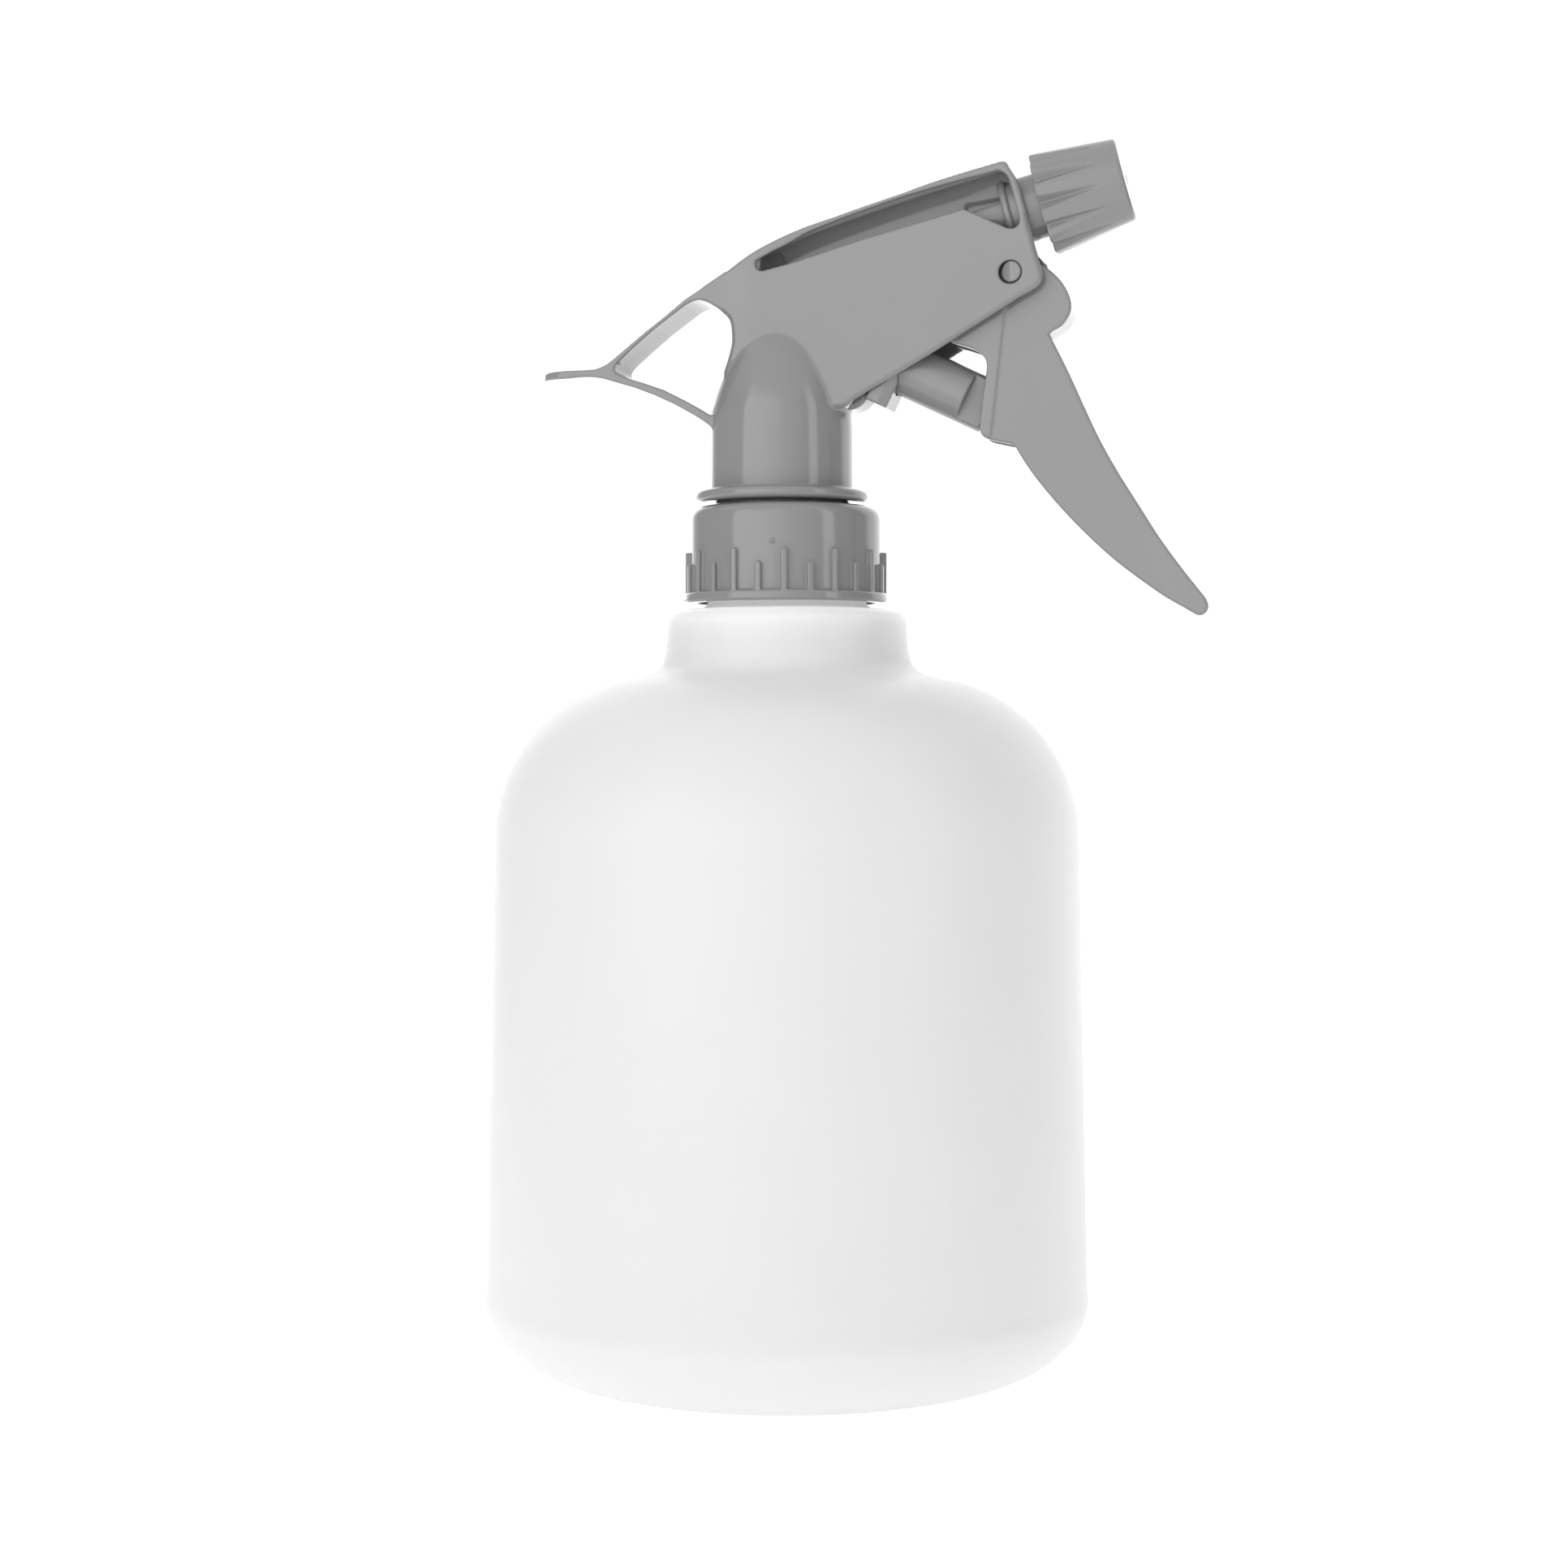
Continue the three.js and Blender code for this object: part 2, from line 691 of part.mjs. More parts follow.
function makeTubeAdapter() {
  const body = solid(rod(5, 124.5, 144.6))
    .add(solid(rod(STEM_BORE_R - GAP - 0.1, 136.8, 140.6, 28)));
  return body
    .subtract(solid(rod(VENT_HOLE_R, 136, 142, 10).translate(-VENT_HOLE_X, 0, 0)))
    .subtract(solid(rod(DIP_TUBE_R + GAP, 124, 138)))
    .subtract(solid(rod(1.6, 137, 140, 12)))
    .subtract(solid(rod(INLET_BALL_R + 0.6, INLET_SEAT_Z, 145)));
}

function makeDipTube() {
  const tube = solid(rod(DIP_TUBE_R, DIP_TUBE_TIP_Z, 137.5))
    .subtract(solid(rod(DIP_TUBE_BORE_R, DIP_TUBE_TIP_Z - 1, 138.5)));
  const slantCut = new THREE.BoxGeometry(20, 20, 10)
    .translate(0, 0, -5)
    .rotateY(THREE.MathUtils.degToRad(40))
    .translate(0, 0, DIP_TUBE_TIP_Z + 2.2);
  return tube.subtract(solid(slantCut));
}

// Soft ring that lies over the vent hole and lets air into the bottle.
function makeVentSeal() {
  return solid(turned([
    [6.95, 141],
    [STEM_BORE_R - 0.5, 140.95],
    [STEM_BORE_R - 0.5, 141.7],
    [6.95, 142.2],
    [6.95, 141],
  ], 20));
}

function makeNeckGasket() {
  return solid(turned([
    [NECK_BORE_R + 0.2, NECK_TOP_Z + GAP],
    [BEAD_R + 0.3, NECK_TOP_Z + GAP],
    [BEAD_R + 0.3, STEM_BOTTOM_Z - GAP],
    [NECK_BORE_R + 0.2, STEM_BOTTOM_Z - GAP],
    [NECK_BORE_R + 0.2, NECK_TOP_Z + GAP],
  ], 20));
}

// A ball held a running gap clear of the round edge of its seat.
function ballHeight(ballRadius, seatRadius) {
  return Math.sqrt((ballRadius + GAP) ** 2 - seatRadius ** 2);
}

// ---- Scene graph ------------------------------------------------------------------------------

const GREY = { color: 0xa2a4a6, roughness: 0.28, metalness: 0 };
const PALE_GREY = { color: 0xb2b4b6, roughness: 0.35, metalness: 0 };
const FROSTED = { color: 0xeeeeec, roughness: 0.5, metalness: 0 };
const NATURAL = { color: 0xe4e4de, roughness: 0.4, metalness: 0 };
const SOFT_BLACK = { color: 0x2b2b2c, roughness: 0.8, metalness: 0 };
const STEEL = { color: 0xb8bbbd, roughness: 0.3, metalness: 1 };

const sprayBottle = new THREE.Group();
const head = new THREE.Group();
sprayBottle.add(head);

function place(parent, name, body, look) {
  const geometry = body.isBufferGeometry ? body : toGeometry(body);
  const mesh = new THREE.Mesh(geometry, new THREE.MeshStandardMaterial(look));
  mesh.name = name;
  parent.add(mesh);
  return mesh;
}

// Group whose +Z runs along a tilted axis of the head.
function axisGroup(axis) {
  const group = new THREE.Group();
  group.position.set(axis.x, 0, axis.z);
  group.rotation.y = Math.PI / 2 + axis.tilt;
  head.add(group);
  return group;
}

place(sprayBottle, 'bottle', makeBottle(), FROSTED);
place(sprayBottle, 'screw_cap', makeCap(), GREY);

place(head, 'housing', makeHousing(), GREY);
place(head, 'pump_body', makePumpBody(), PALE_GREY);
place(head, 'trigger', makeTrigger(), GREY);
place(head, 'tube_adapter', makeTubeAdapter(), NATURAL);
place(head, 'dip_tube', makeDipTube(), NATURAL);
place(head, 'vent_seal', makeVentSeal(), SOFT_BLACK);
place(head, 'neck_gasket', makeNeckGasket(), NATURAL);

const inletBall = place(head, 'inlet_ball', solid(new THREE.SphereGeometry(INLET_BALL_R, 12, 8)), STEEL);
inletBall.position.z = INLET_SEAT_Z + ballHeight(INLET_BALL_R, 1.6);

const pumpAxis = axisGroup(PUMP);
place(pumpAxis, 'cylinder_retainer', makeRetainer(), PALE_GREY);
place(pumpAxis, 'piston', makePiston(), PALE_GREY);
place(pumpAxis, 'piston_seal', makePistonSeal(), SOFT_BLACK);
place(pumpAxis, 'return_spring', coil({
  radius: 1.85,
  wire: 0.3,
  length: 21.6,
  turns: 7,
  z0: PUMP_REAR_S + 0.7,
}), STEEL);

const nozzleAxis = axisGroup(NOZZLE);
place(nozzleAxis, 'nozzle_tube', makeNozzleTube(), GREY);
place(nozzleAxis, 'swirl_core', makeSwirlCore(), NATURAL);
place(nozzleAxis, 'nozzle_seal', makeNozzleSeal(), SOFT_BLACK);
place(nozzleAxis, 'nozzle_cap', makeNozzleCap(), GREY);
place(nozzleAxis, 'outlet_spring', coil({
  radius: 1.6,
  wire: 0.22,
  length: 7,
  turns: 4,
  z0: -10.1,
}), STEEL);
const outletBall = place(nozzleAxis, 'outlet_ball', solid(new THREE.SphereGeometry(OUTLET_BALL_R, 10, 6)), STEEL);
outletBall.position.z = OUTLET_SEAT_T + ballHeight(OUTLET_BALL_R, 1.3);

export default sprayBottle;
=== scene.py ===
import math

import bmesh
import bpy
import numpy as np
from mathutils import Matrix, Vector


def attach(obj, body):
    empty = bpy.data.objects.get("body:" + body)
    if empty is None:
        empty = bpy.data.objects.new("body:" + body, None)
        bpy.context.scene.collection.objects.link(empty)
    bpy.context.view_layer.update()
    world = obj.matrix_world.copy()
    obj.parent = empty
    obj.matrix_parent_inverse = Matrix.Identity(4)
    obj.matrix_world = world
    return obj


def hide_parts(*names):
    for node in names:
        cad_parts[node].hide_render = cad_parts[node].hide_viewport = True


# Trigger spray bottle. Shapes are built in millimetres in the CAD frame (+Z up, +X the way the
# nozzle points) and scaled to metres when a mesh is made.

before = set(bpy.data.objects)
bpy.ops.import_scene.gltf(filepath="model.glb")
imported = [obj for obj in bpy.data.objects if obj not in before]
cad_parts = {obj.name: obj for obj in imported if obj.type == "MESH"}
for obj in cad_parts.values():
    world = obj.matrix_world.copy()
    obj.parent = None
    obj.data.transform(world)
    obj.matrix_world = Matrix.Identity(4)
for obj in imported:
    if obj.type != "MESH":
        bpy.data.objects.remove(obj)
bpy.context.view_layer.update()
MM = 0.001
FINE = 1.0   # coarser fields while trying things out
ROOT_HALF = 0.7071                      # for 45 degree chamfers


# ---- distance fields ---------------------------------------------------------------------------
# A field is negative inside the solid. Pieces are sampled on a regular grid, joined with soft
# fillets, and skinned; normals come from the field itself, so curved plastic reflects cleanly.

class Grid:
    """A regular grid between two corners, in millimetres, with its x, y and z ready to broadcast."""

    def __init__(self, low, high, step):
        self.step = step * FINE
        self.low = np.array(low, dtype=np.float32)
        counts = np.ceil((np.array(high) - self.low) / self.step).astype(int) + 1
        axes = [(self.low[i] + self.step * np.arange(counts[i])).astype(np.float32) for i in range(3)]
        self.axes = axes
        self.x = axes[0][:, None, None]
        self.y = axes[1][None, :, None]
        self.z = axes[2][None, None, :]


def polygon(points, u, v):
    """Signed distance from (u, v) to a closed polygon."""
    u, v = np.broadcast_arrays(u, v)
    nearest = np.full(u.shape, 1e9, dtype=np.float32)
    inside = np.zeros(u.shape, dtype=bool)
    count = len(points)
    for i in range(count):
        (ax, ay), (bx, by) = points[i], points[(i + 1) % count]
        ex, ey = bx - ax, by - ay
        length2 = ex * ex + ey * ey
        if length2 < 1e-12:
            continue
        wx, wy = u - ax, v - ay
        t = np.clip((wx * ex + wy * ey) / length2, 0, 1)
        nearest = np.minimum(nearest, (wx - t * ex) ** 2 + (wy - t * ey) ** 2)
        if ay != by:
            crosses = (ay > v) != (by > v)
            inside ^= crosses & (wx < ex * wy / ey)
    return np.where(inside, -1, 1).astype(np.float32) * np.sqrt(nearest)


def both(a, b, edge=0.0):
    """Intersection, with the shared edge rounded to a radius."""
    if edge <= 0:
        return np.maximum(a, b)
    a, b = a + edge, b + edge
    outer = np.sqrt(np.maximum(a, 0) ** 2 + np.maximum(b, 0) ** 2)
    return np.minimum(np.maximum(a, b), 0) + outer - edge


def join(a, b, fillet=0.0):
    """Union, with a soft fillet where the two meet."""
    if fillet <= 0:
        return np.minimum(a, b)
    h = np.maximum(fillet - np.abs(a - b), 0) / fillet
    return np.minimum(a, b) - h * h * fillet * 0.25


def cut(a, b, edge=0.0):
    """Takes b out of a, with the new edge softened; edge may vary over the field."""
    if np.max(edge) <= 0:
        return np.maximum(a, -b)
    h = np.maximum(edge - np.abs(a + b), 0) / edge
    return np.maximum(a, -b) + h * h * edge * 0.25


def chamfered(flat, side, size):
    """Cuts the edge between an outline and its flat side at 45 degrees."""
    return (flat + side + size) * ROOT_HALF


def drawn(g, outline):
    """Distance from a closed [x, z] outline, the same at every y."""
    return polygon(outline, g.x[:, 0, :], g.z[0])[:, None, :]


def plate(g, outline, half, edge=0.3):
    """An [x, z] outline extruded along Y to both sides of the middle plane."""
    return both(drawn(g, outline), np.abs(g.y) - half, edge)


def sample(field, u0, v0, step, u, v):
    """Bilinear look-up in a 2-D field whose sample [0, 0] lies at (u0, v0)."""
    fu = np.clip((u - u0) / step, 0, field.shape[0] - 1.001)
    fv = np.clip((v - v0) / step, 0, field.shape[1] - 1.001)
    iu, iv = fu.astype(np.int32), fv.astype(np.int32)
    fu, fv = fu - iu, fv - iv
    low = field[iu, iv] * (1 - fu) + field[iu + 1, iv] * fu
    high = field[iu, iv + 1] * (1 - fu) + field[iu + 1, iv + 1] * fu
    return low * (1 - fv) + high * fv


def turned(profile, radius, height):
    """Solid of revolution from a closed [radius, height] profile."""
    step = 0.1
    rs = [p[0] for p in profile]
    hs = [p[1] for p in profile]
    r_axis = np.arange(0, max(rs) + 3, step, dtype=np.float32)
    h_axis = np.arange(min(hs) - 3, max(hs) + 3, step, dtype=np.float32)
    mirrored = [(-r, h) for r, h in reversed(profile)] if min(rs) <= 0 else []
    points = list(profile) + [p for p in mirrored if p[0] < 0]
    field = polygon(points, r_axis[:, None], h_axis[None, :])
    radius, height = np.broadcast_arrays(radius, height)
    return sample(field, 0, h_axis[0], step, radius, height)


def along(g, origin, tilt_up):
    """Distance t along a tilted axis in the XZ plane, the height w above it, and the radius."""
    c, s = math.cos(tilt_up), math.sin(tilt_up)
    dx, dz = g.x - origin[0], g.z - origin[1]
    t = dx * c + dz * s
    w = dz * c - dx * s
    return t, w, np.sqrt(w * w + g.y ** 2)


def curve(points, per=6):
    """Smooth open curve through the points (Catmull-Rom)."""
    p = np.array(points, dtype=float)
    p = np.vstack([2 * p[0] - p[1], p, 2 * p[-1] - p[-2]])
    out = []
    for i in range(1, len(p) - 2):
        for k in range(per):
            t = k / per
            a, b, c, d = p[i - 1], p[i], p[i + 1], p[i + 2]
            out.append(tuple(0.5 * (2 * b + (c - a) * t + (2 * a - 5 * b + 4 * c - d) * t * t
                                    + (3 * b - a - 3 * c + d) * t ** 3)))
    out.append(tuple(p[-2]))
    return out


def arc(cx, cy, rx, ry, a0, a1, count):
    """Points on an elliptical arc from a0 to a1 degrees."""
    angles = np.radians(np.linspace(a0, a1, count + 1))
    return [(cx + rx * math.cos(a), cy + ry * math.sin(a)) for a in angles]


def skin(g, field):
    """Surface net of a field: points, quads and outward normals, in millimetres."""
    field = np.ascontiguousarray(np.broadcast_to(field, (len(g.axes[0]), len(g.axes[1]), len(g.axes[2]))))
    inside = field < 0
    corner = [(i, j, k) for i in (0, 1) for j in (0, 1) for k in (0, 1)]
    n = np.array(field.shape) - 1
    count = np.zeros(n, dtype=np.uint8)
    for i, j, k in corner:
        count += inside[i:i + n[0], j:j + n[1], k:k + n[2]]
    cells = np.argwhere((count > 0) & (count < 8))
    number = np.full(n, -1, dtype=np.int32)
    number[cells[:, 0], cells[:, 1], cells[:, 2]] = np.arange(len(cells))
    total = np.zeros((len(cells), 3))
    hits = np.zeros(len(cells))
    for a in corner:
        for axis in range(3):
            if a[axis]:
                continue
            b = tuple(a[m] + (m == axis) for m in range(3))
            fa = field[cells[:, 0] + a[0], cells[:, 1] + a[1], cells[:, 2] + a[2]]
            fb = field[cells[:, 0] + b[0], cells[:, 1] + b[1], cells[:, 2] + b[2]]
            crossed = (fa < 0) != (fb < 0)
            t = np.where(crossed, fa / np.where(crossed, fa - fb, 1), 0)
            point = np.array(a) + t[:, None] * (np.arange(3) == axis)
            total += np.where(crossed[:, None], point, 0)
            hits += crossed
    points = cells + total / hits[:, None]
    quads = []
    step = np.eye(3, dtype=int)
    for axis in range(3):
        u, v = (axis + 1) % 3, (axis + 2) % 3
        moved = np.take(inside, range(1, inside.shape[axis]), axis=axis)
        base = np.take(inside, range(0, inside.shape[axis] - 1), axis=axis)
        edges = np.argwhere(base != moved)
        ok = (edges[:, u] > 0) & (edges[:, v] > 0) & (edges[:, u] < n[u]) & (edges[:, v] < n[v])
        edges = edges[ok]
        leaving = base[edges[:, 0], edges[:, 1], edges[:, 2]]
        ring = [edges - step[u] - step[v], edges - step[v], edges, edges - step[u]]
        ids = np.stack([number[r[:, 0], r[:, 1], r[:, 2]] for r in ring], axis=1)
        ids[~leaving] = ids[~leaving][:, ::-1]
        quads.append(ids)
    quads = np.vstack(quads)
    normals = gradient(field, points)
    return g.low + points * g.step, quads, normals


def gradient(field, points):
    """Outward unit normals of a field at fractional grid points."""
    def at(p):
        p = np.clip(p, 0, np.array(field.shape) - 1.001)
        i = p.astype(np.int32)
        f = p - i
        out = 0
        for dx in (0, 1):
            for dy in (0, 1):
                for dz in (0, 1):
                    w = (np.where(dx, f[:, 0], 1 - f[:, 0]) * np.where(dy, f[:, 1], 1 - f[:, 1])
                         * np.where(dz, f[:, 2], 1 - f[:, 2]))
                    out = out + w * field[i[:, 0] + dx, i[:, 1] + dy, i[:, 2] + dz]
        return out
    reach = 0.75
    normals = np.stack([at(points + reach * np.eye(3)[a]) - at(points - reach * np.eye(3)[a])
                        for a in range(3)], axis=1)
    return normals / np.maximum(np.linalg.norm(normals, axis=1, keepdims=True), 1e-9)


# ---- meshes ------------------------------------------------------------------------------------

def make_piece(name, points, faces, material, normals=None):
    """A Blender object from points in millimetres and quad or triangle faces."""
    mesh = bpy.data.meshes.new(name)
    faces = np.asarray(faces)
    points = np.asarray(points, dtype=np.float32) * MM
    mesh.vertices.add(len(points))
    mesh.vertices.foreach_set("co", points.ravel())
    sides = faces.shape[1]
    mesh.loops.add(faces.size)
    mesh.loops.foreach_set("vertex_index", faces.astype(np.int32).ravel())
    mesh.polygons.add(len(faces))
    mesh.polygons.foreach_set("loop_start", np.arange(0, faces.size, sides, dtype=np.int32))
    mesh.update(calc_edges=True)
    mesh.validate()
    mesh.polygons.foreach_set("use_smooth", np.ones(len(mesh.polygons), dtype=bool))
    if normals is not None:
        mesh.normals_split_custom_set_from_vertices(np.asarray(normals, dtype=np.float32))
    mesh.materials.append(material)
    piece = bpy.data.objects.new(name, mesh)
    bpy.context.scene.collection.objects.link(piece)
    return piece


def skinned(name, g, field, material):
    """The zero surface of a field as a Blender object."""
    points, quads, normals = skin(g, field)
    return make_piece(name, points, quads, material, normals)


def lathe(name, profile, segments, material, closed=False):
    """Smooth solid of revolution from a dense [radius, height] profile, axis to axis or closed."""
    rings = np.array(profile, dtype=float)
    angles = np.linspace(0, 2 * np.pi, segments, endpoint=False)
    points = np.stack([rings[:, None, 0] * np.cos(angles), rings[:, None, 0] * np.sin(angles),
                       np.repeat(rings[:, None, 1], segments, axis=1)], axis=2).reshape(-1, 3)
    rows = len(rings)
    i = np.arange(rows if closed else rows - 1)
    j = np.arange(segments)
    i, j = np.meshgrid(i, j, indexing="ij")
    i2, j2 = (i + 1) % rows, (j + 1) % segments
    faces = np.stack([i * segments + j, i * segments + j2, i2 * segments + j2, i2 * segments + j],
                     axis=2).reshape(-1, 4)
    piece = make_piece(name, points, faces, material)
    mesh = piece.data
    bm = bmesh.new()
    bm.from_mesh(mesh)
    bmesh.ops.remove_doubles(bm, verts=bm.verts, dist=1e-6)
    bmesh.ops.recalc_face_normals(bm, faces=bm.faces)
    bm.to_mesh(mesh)
    bm.free()
    mesh.polygons.foreach_set("use_smooth", np.ones(len(mesh.polygons), dtype=bool))
    return piece


# ---- materials ---------------------------------------------------------------------------------

def blank_material(name):
    """A new node material: its tree, its shader and the object's own coordinates."""
    material = bpy.data.materials.new(name)
    material.use_nodes = True
    tree = material.node_tree
    return material, tree, tree.nodes["Principled BSDF"], tree.nodes.new("ShaderNodeTexCoord")


def noise(tree, where, scale, detail=2.0):
    """A noise over the object's own coordinates."""
    node = tree.nodes.new("ShaderNodeTexNoise")
    node.inputs["Scale"].default_value = scale
    node.inputs["Detail"].default_value = detail
    tree.links.new(where.outputs["Object"], node.inputs["Vector"])
    return node


def drifting_colour(tree, shader, cloud, dark, light):
    """Base colour that wanders between two tones with a noise."""
    colour = tree.nodes.new("ShaderNodeMix")
    colour.data_type = "RGBA"
    colour.inputs["A"].default_value = (*dark, 1)
    colour.inputs["B"].default_value = (*light, 1)
    tree.links.new(cloud.outputs["Fac"], colour.inputs["Factor"])
    tree.links.new(colour.outputs["Result"], shader.inputs["Base Color"])


def map_range(tree, value, source, target):
    """Maps a socket's value from the source range to the target range."""
    node = tree.nodes.new("ShaderNodeMapRange")
    for name, number in zip(("From Min", "From Max", "To Min", "To Max"), (*source, *target)):
        node.inputs[name].default_value = number
    tree.links.new(value, node.inputs["Value"])
    return node


def bumped(tree, height, strength, distance, below=None):
    """A bump node, on top of the normal of another one where that is given."""
    node = tree.nodes.new("ShaderNodeBump")
    node.inputs["Strength"].default_value = strength
    node.inputs["Distance"].default_value = distance
    tree.links.new(height.outputs["Fac"], node.inputs["Height"])
    if below:
        tree.links.new(below.outputs["Normal"], node.inputs["Normal"])
    return node


def plastic(name, dark, light, roughness, grain=0.00004, grain_size=900.0, waviness=0.0, subsurface=0.0):
    """Moulded plastic: slow colour drift, uneven gloss and a fine moulded surface."""
    material, tree, shader, where = blank_material(name)
    drifting_colour(tree, shader, noise(tree, where, 55.0, 3.0), dark, light)
    speck = noise(tree, where, grain_size, 4.0)
    gloss = map_range(tree, speck.outputs["Fac"], (0, 1), (roughness * 0.85, roughness * 1.2))
    tree.links.new(gloss.outputs["Result"], shader.inputs["Roughness"])
    wave = bumped(tree, noise(tree, where, 32.0, 0.0), 1.0, waviness)
    bump = bumped(tree, speck, 0.35, grain, below=wave)
    tree.links.new(bump.outputs["Normal"], shader.inputs["Normal"])
    shader.inputs["IOR"].default_value = 1.49
    if subsurface:
        shader.inputs["Subsurface Weight"].default_value = subsurface
        shader.inputs["Subsurface Radius"].default_value = (1.0, 1.0, 0.95)
        shader.inputs["Subsurface Scale"].default_value = 0.006
    return material


def metal(name, tone, roughness):
    """Drawn steel with fine streaks."""
    material, tree, shader, where = blank_material(name)
    shader.inputs["Metallic"].default_value = 1.0
    streak = noise(tree, where, 1500.0)
    drifting_colour(tree, shader, streak, (tone * 0.85, tone * 0.86, tone * 0.87), (tone, tone, tone))
    gloss = map_range(tree, streak.outputs["Fac"], (0, 1), (roughness * 0.8, roughness * 1.3))
    tree.links.new(gloss.outputs["Result"], shader.inputs["Roughness"])
    return material


grey = plastic("grey_polypropylene", (0.192, 0.192, 0.192), (0.204, 0.204, 0.204), 0.11,
               grain=0.000012, waviness=0.0012)
grey_inner = plastic("grey_pump_plastic", (0.19, 0.19, 0.19), (0.202, 0.202, 0.202), 0.18, grain=0.000016)
natural = plastic("natural_polyethylene", (0.74, 0.74, 0.72), (0.82, 0.82, 0.80), 0.38, subsurface=0.3)
frosted = plastic("frosted_polyethylene", (0.70, 0.70, 0.70), (0.73, 0.73, 0.73), 0.42,
                  grain=0.00003, grain_size=700.0, subsurface=0.8)


def paint_neck_strip_glow(material):
    """Painted glow: a faint emission band on the bottle between collar and cap brightens the strip that lies
    in shade, standing in for light carried up the translucent wall.
    """
    tree = material.node_tree
    where = tree.nodes.new("ShaderNodeTexCoord")
    parts = tree.nodes.new("ShaderNodeSeparateXYZ")
    tree.links.new(where.outputs["Object"], parts.inputs["Vector"])
    rise = map_range(tree, parts.outputs["Z"], (0.1218, 0.1228), (0, 0.3))
    fall = map_range(tree, parts.outputs["Z"], (0.1242, 0.125), (1, 0))
    painted_glow = tree.nodes.new("ShaderNodeMath")
    painted_glow.operation = "MULTIPLY"
    tree.links.new(rise.outputs["Result"], painted_glow.inputs[0])
    tree.links.new(fall.outputs["Result"], painted_glow.inputs[1])
    shader = tree.nodes["Principled BSDF"]
    shader.inputs["Emission Color"].default_value = (1, 1, 1, 1)
    # Painted light: the shaded neck strip glows instead of being lit.
    tree.links.new(painted_glow.outputs["Value"], shader.inputs["Emission Strength"])


# Paints a glow into the bottle's shaded neck strip under the cap.
paint_neck_strip_glow(frosted)
rubber = plastic("dark_seal_rubber", (0.02, 0.02, 0.021), (0.035, 0.035, 0.036), 0.75, grain=0.00008)
steel = metal("stainless_steel", 0.62, 0.28)

for node, look in (("dip_tube", natural), ("tube_adapter", natural), ("neck_gasket", natural),
                   ("swirl_core", natural), ("vent_seal", rubber), ("piston_seal", rubber),
                   ("nozzle_seal", rubber), ("return_spring", steel), ("outlet_spring", steel),
                   ("inlet_ball", steel), ("outlet_ball", steel)):
    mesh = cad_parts[node].data
    mesh.materials.clear()
    mesh.materials.append(look)


# ---- bottle ------------------------------------------------------------------------------------

BASE_R, HEEL_R, HEEL_Z = 31.0, 48.6, 12.2
SIDE_R, SHOULDER_Z, SHOULDER_ARC = 46.9, 85.8, 26.1
NECK_R, NECK_BORE, NECK_TOP = 12.7, 10.7, 135.0
THREAD_PITCH = 4.23
WALL = 1.3


def bezier(a, b, c, d, count):
    """Points on a cubic Bezier curve."""
    t = np.linspace(0, 1, count + 1)[:, None]
    u = 1 - t
    a, b, c, d = (np.array(p) for p in (a, b, c, d))
    return [tuple(p) for p in u ** 3 * a + 3 * u ** 2 * t * b + 3 * u * t * t * c + t ** 3 * d]


def bottle_side(inset):
    """Heel, tapering side, shoulder and the fillet into the collar."""
    rows = arc(BASE_R, HEEL_Z, HEEL_R - BASE_R - inset, HEEL_Z - inset, -90, -4, 30)
    for z in np.linspace(HEEL_Z, SHOULDER_Z, 90)[1:-1]:
        slope = (z - HEEL_Z) / (SHOULDER_Z - HEEL_Z)
        lip = 0.24 * math.exp(-((z - HEEL_Z - 0.2) / 0.55) ** 2) if inset == 0 else 0
        rows.append((HEEL_R - 0.22 + (SIDE_R - HEEL_R + 0.22) * slope + lip - inset, z))
    rows += arc(SIDE_R - SHOULDER_ARC, SHOULDER_Z, SHOULDER_ARC - inset, SHOULDER_ARC - inset, 0, 75, 40)
    r, z = rows[-1]
    rows += bezier((r, z), (r - 3.9, z + 1.05), (20.2 - inset, z + 0.7), (19.75 - inset, z + 4.0), 14)[1:]
    return rows


def make_bottle():
    """One blown shell: base, side, shoulder, collar and neck, outside and inside."""
    collar_top, edge = 122.6, 2.6
    outer = [(0, 0.9), (18, 0.9), (24, 0.75), (28, 0.25), (29.6, 0.03)] + bottle_side(0)
    outer += [(19.5, 116.2), (19.3, 118.2)]
    outer += arc(19.22 - edge, collar_top - edge, edge, edge, 0, 90, 16)
    outer += [(15, collar_top + 0.12), (13.6, collar_top + 0.3), (12.95, collar_top + 0.7)]
    outer += [(NECK_R, collar_top + 1.5)]
    outer += [(NECK_R, NECK_TOP - 0.4), (NECK_R - 0.15, NECK_TOP - 0.1), (NECK_R - 0.4, NECK_TOP)]
    inner = [(NECK_BORE + 0.2, NECK_TOP), (NECK_BORE, NECK_TOP - 0.2), (NECK_BORE, collar_top - WALL),
             (17.4, collar_top - WALL - 0.6), (17.9, 118)]
    inner += bottle_side(WALL)[::-1] + [(0, WALL + 0.9)]
    return lathe("bottle_shell", outer + inner, 220, frosted)


